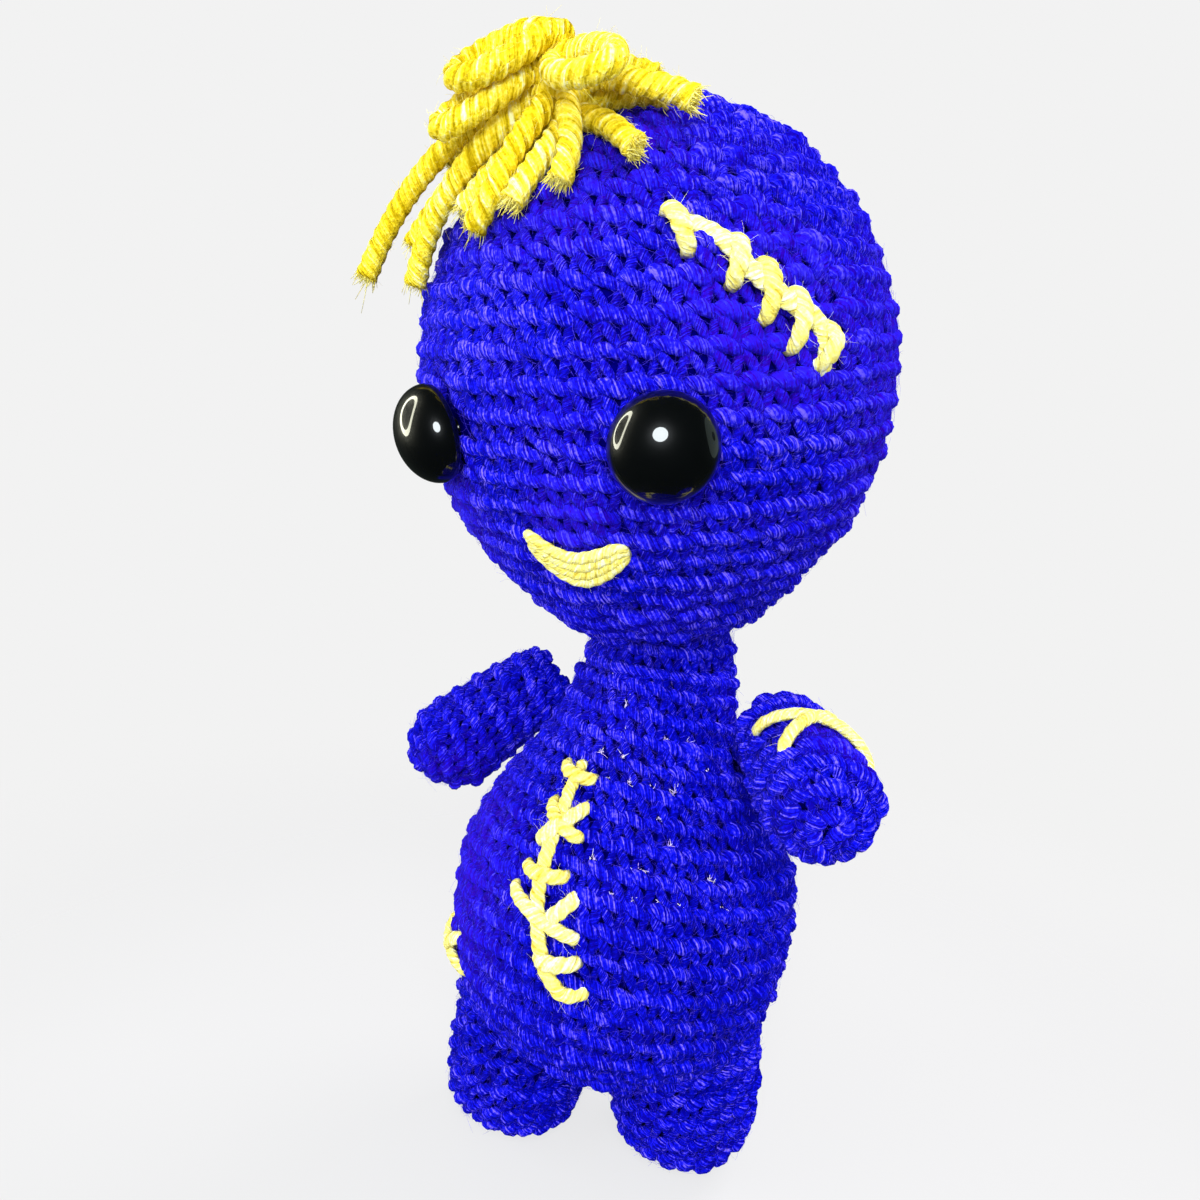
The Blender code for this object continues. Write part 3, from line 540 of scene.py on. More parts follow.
def weld_patches(
    name: str, patches: Sequence[Patch], materials: Sequence[bpy.types.Material]
) -> bpy.types.Object:
    """Put patches into one mesh object at the origin.

    Args:
        name: the object's name.
        patches: the patches, each with its own points.
        materials: the object's materials, in the order of the patches' slots.

    Returns:
        The new object, linked to the scene.
    """
    mesh = bpy.data.meshes.new(name)
    starts = np.cumsum([0] + [len(patch.points) for patch in patches])
    points = np.concatenate([patch.points for patch in patches])
    corners, sizes, slots, uvs = [], [], [], []
    for start, patch in zip(starts, patches):
        for block in patch.faces:
            corners.append((block + start).ravel())
            sizes.append(np.full(len(block), block.shape[1]))
            slots.append(np.full(len(block), patch.slot))
        uvs.append(patch.uv)
    corner_run = np.concatenate(corners).astype(np.int32)
    size_run = np.concatenate(sizes).astype(np.int32)
    mesh.vertices.add(len(points))
    mesh.vertices.foreach_set("co", points.astype(np.float32).ravel())
    mesh.loops.add(len(corner_run))
    mesh.loops.foreach_set("vertex_index", corner_run)
    mesh.polygons.add(len(size_run))
    loop_starts = np.concatenate(([0], np.cumsum(size_run)[:-1])).astype(np.int32)
    mesh.polygons.foreach_set("loop_start", loop_starts)
    mesh.polygons.foreach_set("material_index", np.concatenate(slots).astype(np.int32))
    mesh.polygons.foreach_set("use_smooth", np.ones(len(size_run), dtype=bool))
    layer = mesh.uv_layers.new(name="UVMap")
    layer.data.foreach_set("uv", np.concatenate(uvs).astype(np.float32).ravel())
    for key in ("depth", "tone"):
        values = np.concatenate([getattr(patch, key) for patch in patches])
        stored = mesh.attributes.new(key, "FLOAT", "POINT")
        stored.data.foreach_set("value", values.astype(np.float32))
    mesh.update(calc_edges=True)
    mesh.validate()
    for material in materials:
        mesh.materials.append(material)
    piece = bpy.data.objects.new(name, mesh)
    bpy.context.scene.collection.objects.link(piece)
    return piece


def unit(vectors: np.ndarray) -> np.ndarray:
    """Vectors scaled to length one along their last axis."""
    return vectors / np.maximum(np.linalg.norm(vectors, axis=-1, keepdims=True), 1e-12)


def sweep_strands(
    centres: np.ndarray,
    normals: np.ndarray,
    radius: np.ndarray,
    sides: int,
    depth: np.ndarray,
    tone: np.ndarray,
    flatness: float = 1.0,
    lobes: int = 0,
    lobe_depth: float = 0.0,
    twist_pitch: float = 1.0,
) -> Patch:
    """Sweep a round or lobed profile along many routes at once.

    A point is centre + r(a) (cos a side + flatness sin a up), where side is the route's
    direction crossed with the surface normal, up is side crossed with the direction, and
    r(a) = radius (1 + lobe_depth cos(lobes a - lobes * 2 pi * length / twist_pitch)).

    Args:
        centres: routes, as strands by points by 3.
        normals: a rough outward direction at each point.
        radius: radius at each point, strands by points.
        sides: corners round the profile.
        depth: painted light number at each point, strands by points: low for painted shading, high for
            painted highlight.
        tone: one random number for each strand.
        flatness: height of the profile against its width.
        lobes: plies seen in the profile, or 0 for round.
        lobe_depth: how deep the grooves between plies are, as a share of the radius.
        twist_pitch: length in which the plies turn once.

    Returns:
        The patch of closed tubes.
    """
    strands, count, _ = centres.shape
    direction = unit(np.gradient(centres, axis=1))
    side = unit(np.cross(direction, normals))
    up = np.cross(side, direction)
    steps = np.linalg.norm(np.diff(centres, axis=1), axis=2)
    length = np.concatenate((np.zeros((strands, 1)), np.cumsum(steps, axis=1)), axis=1)
    angle = TAU * np.arange(sides) / sides
    spread = np.ones((strands, count, sides))
    if lobes:
        phase = lobes * (angle[None, None, :] - TAU * length[:, :, None] / twist_pitch)
        spread += lobe_depth * np.cos(phase)
    reach = radius[:, :, None] * spread
    points = (
        centres[:, :, None, :]
        + (reach * np.cos(angle))[..., None] * side[:, :, None, :]
        + (reach * np.sin(angle) * flatness)[..., None] * up[:, :, None, :]
    )
    ring = np.arange(sides)
    after = (ring + 1) % sides
    base = (np.arange(count - 1) * sides)[:, None]
    quads = np.stack(
        (base + ring, base + sides + ring, base + sides + after, base + after), axis=-1
    ).reshape(-1, 4)
    caps = np.stack((ring, (count - 1) * sides + ring[::-1]))
    offset = (np.arange(strands) * count * sides)[:, None, None]
    scale = 1.0 / (2 * np.maximum(radius.max(axis=1), 1e-6))
    run = (length * scale[:, None])[:, :, None]
    low = np.broadcast_to(ring / sides, (strands, count - 1, sides))
    high = np.broadcast_to((ring + 1) / sides, (strands, count - 1, sides))
    here = np.broadcast_to(run[:, :-1], (strands, count - 1, sides))
    there = np.broadcast_to(run[:, 1:], (strands, count - 1, sides))
    quad_uv = np.stack((low, here, low, there, high, there, high, here), axis=-1).reshape(-1, 2)
    cap_uv = np.zeros((strands * 2 * sides, 2))
    # Ply ridges get a higher painted light number and ply grooves a lower one: painted highlight on the
    # ridges, painted shading in the grooves.
    bright = depth[:, :, None] + (spread - 1.0) * 1.6
    return Patch(
        points.reshape(-1, 3),
        [(quads + offset).reshape(-1, 4), (caps + offset).reshape(-1, sides)],
        np.concatenate((quad_uv, cap_uv)),
        bright.ravel(),
        np.repeat(tone, count * sides),
    )


def sweep_one(
    points: np.ndarray,
    normals: np.ndarray,
    radius: np.ndarray,
    sides: int,
    brightness: float,
    tone: np.ndarray,
    **profile: float,
) -> Patch:
    """Sweep one strand along one route, at one painted light level."""
    depth = np.full((1, len(points)), brightness)
    return sweep_strands(points[None], normals[None], radius[None], sides, depth, tone, **profile)


def turned_patch(profile: np.ndarray, segments: int, place: Matrix, slot: int = 0) -> Patch:
    """Turn a profile of (radius, height) round +Z into a closed skin.

    A point is (r sin t, -r cos t, z) for t round the axis; both ends lie on the axis, where
    the rings close to one point each. The profile runs downwards.

    Args:
        profile: radii and heights from one pole to the other.
        segments: steps round the axis.
        place: the frame's place in the world.
        slot: the material slot.

    Returns:
        The patch.
    """
    rings = profile[1:-1]
    turn = TAU * np.arange(segments) / segments
    body = np.stack(
        (
            rings[:, :1] * np.sin(turn),
            -rings[:, :1] * np.cos(turn),
            np.broadcast_to(rings[:, 1:], (len(rings), segments)),
        ),
        axis=-1,
    ).reshape(-1, 3)
    poles = np.array([[0, 0, profile[0, 1]], [0, 0, profile[-1, 1]]])
    points = move_points(np.concatenate((body, poles)), place)
    ring = np.arange(segments)
    after = (ring + 1) % segments
    base = (np.arange(len(rings) - 1) * segments)[:, None]
    quads = np.stack(
        (base + ring, base + segments + ring, base + segments + after, base + after), axis=-1
    ).reshape(-1, 4)
    first, last = len(body), len(body) + 1
    end = (len(rings) - 1) * segments
    top = np.stack((np.full(segments, first), ring, after), axis=-1)
    bottom = np.stack((np.full(segments, last), end + after, end + ring), axis=-1)
    corners = np.concatenate((quads.ravel(), top.ravel(), bottom.ravel()))
    around = np.concatenate((np.tile(turn / TAU, len(rings)), (0.5, 0.5)))
    steps = np.linalg.norm(np.diff(profile, axis=0), axis=1)
    run = np.concatenate(([0.0], np.cumsum(steps)))
    down = np.concatenate((np.repeat(run[1:-1], segments), (run[0], run[-1])))
    down = down / max(run[-1], 1e-9)
    uv = np.stack((around[corners], down[corners]), axis=-1)
    middling = np.full(len(points), 0.5)
    return Patch(points, [quads, top, bottom], uv, middling, middling, slot)


def move_points(points: np.ndarray, place: Matrix) -> np.ndarray:
    """Points carried by a 4 by 4 placing."""
    matrix = np.array(place)
    return points @ matrix[:3, :3].T + matrix[:3, 3]


def turn_vectors(vectors: np.ndarray, place: Matrix) -> np.ndarray:
    """Directions turned by a 4 by 4 placing."""
    return vectors @ np.array(place)[:3, :3].T


def axes_turn(x: Vector, y: Vector, z: Vector) -> Matrix:
    """The turn that carries the world's axes to three given ones."""
    return Matrix((x, y, z)).transposed().to_4x4()


def upright(heights: np.ndarray) -> np.ndarray:
    """Vectors straight up, of given heights."""
    return np.stack((0 * heights, 0 * heights, heights), axis=-1)


def arc(radius: float, rise: np.ndarray, middle: float) -> np.ndarray:
    """Outline points of a ball whose middle is at a height, at angles above that middle."""
    return np.stack((radius * np.cos(rise), radius * np.sin(rise) + middle), axis=-1)


def outline_normals(outline: np.ndarray, run: Run) -> np.ndarray:
    """Outward unit normals of an outline."""
    slope = unit(np.gradient(outline, axis=0))
    return np.stack((-slope[:, 1], slope[:, 0]), axis=-1) * -run.value


def sunk_outline(outline: np.ndarray, run: Run, sink: float) -> np.ndarray:
    """An outline moved inwards, whose radii stay at 0 or more."""
    sunk = outline - outline_normals(outline, run) * sink
    sunk[:, 0] = np.maximum(sunk[:, 0], 0.0)
    return sunk


def smooth_route(points: Sequence[Sequence[float]], steps: int) -> np.ndarray:
    """A Catmull-Rom curve through given points.

    Between q and r, with neighbours p and s, the curve is half of
    2q + (r - p)t + (2p - 5q + 4r - s)t^2 + (3q - p - 3r + s)t^3.

    Args:
        points: the given points.
        steps: steps to each span.

    Returns:
        The curve's points.
    """
    given = np.asarray(points, dtype=float)
    padded = np.concatenate((given[:1], given, given[-1:]))
    t = (np.arange(steps) / steps)[None, :, None]
    p, q, r, s = (padded[k : len(padded) - 3 + k, None, :] for k in range(4))
    spans = 0.5 * (
        2 * q + (r - p) * t + (2 * p - 5 * q + 4 * r - s) * t**2 + (3 * q - p - 3 * r + s) * t**3
    )
    return np.concatenate((spans.reshape(-1, given.shape[1]), given[-1:]))


@dataclass
class Skin:
    """The outer surface of a stuffed piece: an outline turned round its own +Z."""

    outline: np.ndarray
    run: Run
    place: Matrix

    def __post_init__(self) -> None:
        """Measure the outline: length so far and outward normal at each point."""
        steps = np.linalg.norm(np.diff(self.outline, axis=0), axis=1)
        self.lengths = np.concatenate(([0.0], np.cumsum(steps)))
        self.normals = outline_normals(self.outline, self.run)

    @property
    def length(self) -> float:
        """Length of the outline from the first pole to the last."""
        return float(self.lengths[-1])

    def radius(self, along: np.ndarray) -> np.ndarray:
        """Radius at a length along the outline."""
        return np.interp(along, self.lengths, self.outline[:, 0])

    def at(self, turn: np.ndarray, along: np.ndarray, lift: np.ndarray) -> Pair:
        """Points and normals in the world.

        Args:
            turn: angle round the axis in radians, 0 towards the face.
            along: length along the outline.
            lift: height off the surface.

        Returns:
            Points and outward normals.
        """
        radius = np.interp(along, self.lengths, self.outline[:, 0])
        height = np.interp(along, self.lengths, self.outline[:, 1])
        out = np.interp(along, self.lengths, self.normals[:, 0])
        rise = np.interp(along, self.lengths, self.normals[:, 1])
        normal = unit(np.stack((out * np.sin(turn), -out * np.cos(turn), rise), axis=-1))
        point = np.stack((radius * np.sin(turn), -radius * np.cos(turn), height), axis=-1)
        point = point + normal * np.asarray(lift)[..., None]
        return move_points(point, self.place), turn_vectors(normal, self.place)

    def depth_below(self, points: np.ndarray) -> np.ndarray:
        """How far world points lie below the surface, roughly, positive inside."""
        local = (points - np.array(self.place)[:3, 3]) @ np.array(self.place)[:3, :3]
        radius = np.hypot(local[:, 0], local[:, 1])
        order = np.argsort(self.outline[:, 1])
        heights, radii = self.outline[order, 1], self.outline[order, 0]
        inside = (local[:, 2] > heights[0]) & (local[:, 2] < heights[-1])
        return np.where(inside, np.interp(local[:, 2], heights, radii) - radius, -1.0)


# Crochet


@dataclass(frozen=True)
class Loft:
    """One kind of strand in a stitch: its route and how it is drawn.

    The route is points of (u, v, w): u across the stitch in stitch widths, v up to the round
    before in rounds, w off the skin in strand radii.
    """

    route_shares: tuple[Triple, ...]
    thickness: float
    # Painted light level of this kind of strand: lowest for the strand behind, in painted shading,
    # highest for the front loop, in painted highlight.
    brightness: float
    points: int
    sides: int


STITCH = (
    Loft(
        ((0.02, 0.96, 0.0), (0.15, 0.62, 0.75), (0.33, 0.26, 0.80), (0.50, -0.10, 0.0)),
        thickness=0.86,
        brightness=0.46,
        points=8,
        sides=8,
    ),
    Loft(
        ((0.98, 0.96, -0.4), (0.86, 0.60, 0.30), (0.67, 0.24, 0.45), (0.50, -0.12, -0.3)),
        thickness=0.84,
        brightness=0.30,
        points=8,
        sides=8,
    ),
    Loft(
        ((-0.10, 0.99, 0.1), (0.22, 1.02, 1.00), (0.60, 0.90, 1.08), (1.06, 0.74, 0.2)),
        thickness=1.16,
        brightness=0.62,
        points=13,
        sides=10,
    ),
)


@dataclass
class Crochet:
    """Single crochet worked in one spiral round a skin.

    With p the pitch and r the radius, at least six stitches' worth, the stitches counted up to
    the turn t are the integral of r / width over t, and a stitch lies at each whole count, at
    the length start + p t / 2 pi. Each stitch is drawn in its own square of u, across it, and
    v, up to the round before, with w standing off the skin.
    """

    pitch: float = 0.0047
    width: float = 0.00405
    sink: float = 0.0020
    strand_radius: float = 0.00098
    backing_sink: float = 0.0032
    wander: float = 0.00020
    lean: float = -0.22
    plies: int = 3
    ply_depth: float = 0.085
    ply_pitch: float = 0.0040
    fewest: int = 6

    @property
    def least_radius(self) -> float:
        """Radius of a round of the fewest stitches."""
        return self.fewest * self.width / TAU

    def lay(
        self,
        skin: Skin,
        seed: int,
        start: float = 0.0,
        end: float | None = None,
        keep: Keep | None = None,
    ) -> list[Patch]:
        """Lay stitches on a skin.

        Args:
            skin: the surface.
            seed: seed of the small irregularities.
            start: length along the outline where the first round starts.
            end: length where the last round ends.
            keep: a test on the stitches' middles, which says which ones stay.

        Returns:
            One patch for each kind of strand.
        """
        rng = np.random.default_rng(seed)
        last = skin.length if end is None else end
        turns, alongs, steps = self.spiral(skin, start, last)
        middle, _ = skin.at(turns, alongs, np.zeros(len(turns)))
        if keep is not None:
            chosen = keep(middle)
            turns, alongs, steps = turns[chosen], alongs[chosen], steps[chosen]
        tone = rng.random(len(turns))
        jitter = rng.normal(0, 1, (len(turns), 3))
        return [self._strand(skin, turns, alongs, steps, loft, tone, jitter) for loft in STITCH]

    def spiral(
        self, skin: Skin, start: float, last: float
    ) -> tuple[np.ndarray, np.ndarray, np.ndarray]:
        """Where the stitches lie.

        Args:
            skin: the surface.
            start: length along the outline where the spiral starts.
            last: length where it ends.

        Returns:
            The stitches' angles, lengths along the outline and widths as angles.
        """
        rounds = max(round((last - start) / self.pitch), 1)
        pitch = (last - start) / rounds
        turn = np.linspace(0, TAU * rounds, 720 * rounds)
        along = start + pitch * turn / TAU
        radius = np.maximum(skin.radius(along), self.least_radius)
        count = np.concatenate(([0.0], np.cumsum(np.diff(turn) * radius[:-1] / self.width)))
        turns = np.interp(np.arange(int(count[-1]) + 1), count, turn)
        alongs = start + pitch * turns / TAU
        return turns, alongs, self.width / np.maximum(skin.radius(alongs), self.least_radius)

    def _strand(
        self,
        skin: Skin,
        turns: np.ndarray,
        alongs: np.ndarray,
        steps: np.ndarray,
        loft: Loft,
        tone: np.ndarray,
        jitter: np.ndarray,
    ) -> Patch:
        """Sweep one kind of strand through all stitches at once."""
        route = smooth_route(loft.route_shares, 8)
        picks = np.linspace(0, len(route) - 1, loft.points).round().astype(int)
        u, v, w = route[picks].T
        across = (u + self.lean * v)[None, :] + jitter[:, :1] * 0.05
        turn = turns[:, None] + (across - 0.5) * steps[:, None]
        along = (
            alongs[:, None]
            + (0.5 - v[None, :]) * self.pitch
            + self.pitch * (turn - turns[:, None]) / TAU
        )
        along = np.clip(along + jitter[:, 1:2] * self.wander, 0.0002, skin.length - 0.0002)
        lift = w[None, :] * self.strand_radius - self.sink + jitter[:, 2:] * self.wander
        points, normals = skin.at(turn, along, lift)
        ends = np.sin(np.linspace(0.14, math.pi - 0.14, loft.points)) ** 0.35
        radius = self.strand_radius * loft.thickness * ends * (1 + 0.08 * jitter[:, 2:])
        # Painted light: each kind of strand has its own level, and where it stands further off the skin
        # it is drawn lighter.
        depth = loft.brightness + 0.22 * (w[None, :] - 0.6) + np.zeros_like(lift)
        return sweep_strands(
            points,
            normals,
            radius,
            loft.sides,
            depth,
            tone,
            lobes=self.plies,
            lobe_depth=self.ply_depth,
            twist_pitch=-self.ply_pitch,
        )


@dataclass
class Fuzz:
    """Loose fibres, most of which lie along the yarn and a few of which stand off it.

    A fibre's points are start + length (t out + t (1 - t) bend + t^2 / 2 loose), t from 0 to 1.
    """

    per_square_cm: float = 130.0
    length: float = 0.0013
    radius: float = 0.000022
    rise: float = 0.14
    points: int = 4

    def grow(
        self,
        skin: Skin,
        seed: int,
        start: float,
        end: float,
        keep: Keep | None = None,
    ) -> Patch:
        """Grow fibres on a skin.

        Args:
            skin: the surface.
            seed: seed of the fibres' places and bends.
            start: length along the outline where they start.
            end: length where they end.
            keep: a test on their roots, which says which ones stay.

        Returns:
            The patch of thin tubes.
        """
        rng = np.random.default_rng(seed)
        reach = np.linspace(start, end, 200)
        weight = skin.radius(reach)
        count = int(float(weight.mean()) * (end - start) * TAU * 1e4 * self.per_square_cm)
        along = np.interp(rng.random(count), np.cumsum(weight) / weight.sum(), reach)
        root, normal = skin.at(rng.random(count) * TAU, along, rng.uniform(-0.0016, -0.0001, count))
        if keep is not None:
            chosen = keep(root)
            root, normal = root[chosen], normal[chosen]
        return self.strands(root, normal, rng, slot=2)

    def strands(
        self, root: np.ndarray, normal: np.ndarray, rng: np.random.Generator, slot: int
    ) -> Patch:
        """Fibres from given roots, slanting off given normals."""
        count = len(root)
        loose = unit(rng.normal(0, 1, (count, 3)))
        loose = unit(loose - normal * np.sum(loose * normal, axis=1, keepdims=True))
        sweep = unit(rng.normal(0, 1, (count, 3)))
        length = self.length * rng.gamma(4.0, 0.25, (count, 1))[:, None, :]
        t = np.linspace(0, 1, self.points)[None, :, None]
        rise = self.rise * rng.gamma(1.5, 0.67, (count, 1))
        out = (normal * rise + loose)[:, None, :]
        bend = (sweep * 0.8 - normal * rise * 0.6)[:, None, :]
        curve = t * out + t * (1 - t) * bend + t**2 * 0.5 * loose[:, None, :]
        centres = root[:, None, :] + length * curve
        guide = np.broadcast_to(unit(np.cross(out, bend)), centres.shape)
        taper = np.linspace(1.0, 0.5, self.points)
        radius = np.broadcast_to(self.radius * taper, (count, self.points))
        # Fibres get a full painted light number, which their own finish does not read.
        bright = np.ones((count, self.points))
        patch = sweep_strands(centres, guide, radius, 3, bright, rng.random(count))
        patch.slot = slot
        return patch


# The doll


@dataclass
class DollFrames:
    """Where the doll's parts stand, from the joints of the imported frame."""

    neck_joint: Vector
    left_arm_joint: Vector
    right_arm_joint: Vector
    torso_lean_deg: float = 10.0
    head_nod_deg: float = 14.0
    neck_height: float = 0.097

    @classmethod
    def from_frame(cls, frame: dict) -> "DollFrames":
        """Read the joints' places from the frame."""
        places = {joint["name"]: Vector(joint["pos_m"]) for joint in frame["joints"]}
        return cls(places["head_turn"], places["left_arm_raise"], places["right_arm_raise"])

    @property
    def lean(self) -> Matrix:
        """Turn of the torso, which leans back."""
        return Matrix.Rotation(math.radians(-self.torso_lean_deg), 4, "X")

    @property
    def doll(self) -> Matrix:
        """Place of the doll's own origin, on the floor."""
        offset = self.neck_joint - self.lean @ Vector((0, 0, self.neck_height))
        return Matrix.Translation(offset)

    @property
    def torso(self) -> Matrix:
        """Place of the torso's frame, with its origin on the floor."""
        return self.doll @ self.lean

    def head(self, reach: float) -> Matrix:
        """Place of the head's centre, a reach above the neck's joint."""
        nod = Matrix.Rotation(math.radians(self.head_nod_deg), 4, "X")
        return Matrix.Translation(self.neck_joint) @ nod @ Matrix.Translation((0, 0, reach))


FINISHES: dict[str, bpy.types.Material] = {}
EYE_PLACES = {Side.LEFT: (27.0, -7.0), Side.RIGHT: (-27.0, -5.5)}
CLOTH = ("blue", "painted_shade_sheet", "fuzz", "fibre")
LIMB_OVERLAP = 0.0022


def finishes(*keys: str) -> tuple[bpy.types.Material, ...]:
    """Materials of a piece, in the order of its patches' slots."""
    return tuple(FINISHES[key] for key in keys)


def register(
    piece: bpy.types.Object, body: str, nodes: Sequence[str]
) -> bpy.types.Object:
    """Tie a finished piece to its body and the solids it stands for.

    Args:
        piece: the finished object.
        body: the body it moves with.
        nodes: the solids it replaces.

    Returns:
        The same object.
    """
    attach(piece, body)
    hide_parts(*nodes)
    LOG.info("%s: %d faces, rides %s", piece.name, len(piece.data.polygons), body)
    return piece


@dataclass
class Head:
    """The head: an egg of crochet, with eyes, mouth, scar and hair."""

    frames: DollFrames
    radius: float = 0.042
    crown_height: float = 0.0457
    chin_drop: float = 0.0513
    crown_fullness: float = 2.0
    chin_fullness: float = 1.8
    rim_radius: float = 0.0163
    rim_rise: float = 0.0073
    chin_taper: float = 0.055
    backing_sink: float = 0.0021
    socket_radius: float = 0.0137
    eye_clearance: float = 0.0056
    crochet: Crochet = field(default_factory=Crochet)
    fuzz: Fuzz = field(default_factory=Fuzz)

    def half(self, above: np.ndarray) -> Pair:
        """Height and fullness of the half above or below the widest round."""
        height = np.where(above, self.crown_height, self.chin_drop)
        return height, np.where(above, self.crown_fullness, self.chin_fullness)

    def outline_at(self, latitude: np.ndarray) -> tuple[np.ndarray, np.ndarray, np.ndarray]:
        """Radius, height and normal of the egg.

        With n the half's fullness, radius = R |cos|^(2/n) and height = H |sin|^(2/n). Towards
        the chin the radius is less by the taper, which comes in from 0.4 to 1 radian below.

        Args:
            latitude: latitudes in radians.

        Returns:
            Radii, heights and unit normals.
        """
        height, fullness = self.half(latitude >= 0)
        flat = np.abs(np.cos(latitude)) ** (2 / fullness)
        rise = np.abs(np.sin(latitude)) ** (2 / fullness)
        sign = np.where(latitude >= 0, 1.0, -1.0)
        normal = np.stack(
            (flat ** (fullness - 1) / self.radius, sign * rise ** (fullness - 1) / height), axis=-1
        )
        low = np.clip((-latitude - 0.4) / 0.6, 0, 1)
        slim = 1 - self.chin_taper * low**2 * (3 - 2 * low)
        return self.radius * flat * slim, sign * height * rise, unit(normal)

    @property
    def rim_latitude(self) -> float:
        """Latitude where the egg is as narrow as its rim."""
        return -math.acos((self.rim_radius / self.radius) ** (self.chin_fullness / 2))

    @property
    def reach(self) -> float:
        """Height of the egg's centre over the neck's joint."""
        _, height, _ = self.outline_at(np.array(self.rim_latitude))
        return self.rim_rise - float(height)

    @property
    def place(self) -> Matrix:
        """Place of the egg's centre."""
        return self.frames.head(self.reach)

    def skin(self) -> Skin:
        """The head's outer surface from crown to rim."""
        latitude = np.linspace(math.pi / 2, self.rim_latitude, 400)
        radius, height, _ = self.outline_at(latitude)
        radius[0] = 0.0
        return Skin(np.stack((radius, height), axis=-1), Run.DOWN, self.place)

    def spot(self, longitude_deg: np.ndarray, latitude_deg: np.ndarray, lift: np.ndarray) -> Pair:
        """Points and normals off the head at longitudes and latitudes in degrees."""
        longitude, latitude = np.radians(longitude_deg), np.radians(latitude_deg)
        radius, height, normal = self.outline_at(latitude)
        facing = np.stack((np.sin(longitude), -np.cos(longitude), 0 * longitude), axis=-1)
        outward = facing * normal[..., :1] + upright(normal[..., 1])
        point = facing * radius[..., None] + upright(height)
        point = point + outward * np.asarray(lift)[..., None]
        return move_points(point, self.place), turn_vectors(outward, self.place)

    def standing(self, longitude_deg: float, latitude_deg: float, lift: float) -> Matrix:
        """Frame at a spot of the head: +Z straight out of it, +Y up it."""
        point, normal = self.spot(*map(np.array, (longitude_deg, latitude_deg, lift)))
        outward = Vector(normal).normalized()
        top = self.place.to_3x3() @ Vector((0, 0, 1))
        sideways = top.cross(outward).normalized()
        turn = axes_turn(sideways, outward.cross(sideways), outward)
        return Matrix.Translation(Vector(point)) @ turn

    def painted_shade_sheet(self) -> Patch:
        """The dark skin under the stitches, which paints the shading in their holes, over the washers and
        closed over the neck's ball.
        """
        latitude = np.linspace(math.pi / 2, self.rim_latitude, 48)
        radius, height, normal = self.outline_at(latitude)
        skin = np.stack((radius, height), axis=-1) - normal * self.backing_sink
        skin[0, 0] = 0.0
        rise = np.linspace(math.asin(self.rim_rise / self.socket_radius), math.pi / 2, 10)
        ball = arc(self.socket_radius, rise, -self.reach)
        ball[-1, 0] = 0.0
        return turned_patch(np.concatenate((skin, ball)), 96, self.place, slot=1)

    def build(self) -> bpy.types.Object:
        """Build the crocheted head.

        Returns:
            The head's object.
        """
        skin = self.skin()
        eyes = [self.spot(*map(np.array, (*place, 0.0)))[0] for place in EYE_PLACES.values()]

        def clear_of_eyes(points: np.ndarray) -> np.ndarray:
            """Whether points lie outside the eyes' middles."""
            away = [np.linalg.norm(points - eye, axis=1) > self.eye_clearance for eye in eyes]
            return away[0] & away[1]

        last = skin.length - 0.0004
        patches = self.crochet.lay(skin, 11, start=0.0025, end=last, keep=clear_of_eyes)
        patches.append(self.fuzz.grow(skin, 12, 0.0, skin.length - 0.001, keep=clear_of_eyes))
        patches.append(self.painted_shade_sheet())
        for side in Side:
            self._press_under(SafetyEye(side, self), patches)
        piece = weld_patches("head_crochet", patches, finishes(*CLOTH))
        return register(piece, "head", ("head_cover", "head_filling"))

    @staticmethod
    def _press_under(eye: "SafetyEye", patches: Sequence[Patch]) -> None:
        """Press the stitches flat under an eye: none stands above the foot of its dome."""
        place = np.array(eye.place)
        for patch in patches:
            local = (patch.points - place[:3, 3]) @ place[:3, :3]
            reach = np.hypot(local[:, 0], local[:, 1])
            limit = 0.0001 + np.clip(reach - eye.radius - 0.0002, 0, 1) * 1.2
            near = (reach < eye.radius + 0.003) & (np.abs(local[:, 2]) < 0.01)
            over = near & (local[:, 2] > limit)
            patch.points[over] -= place[:3, 2] * (local[over, 2] - limit[over])[:, None]


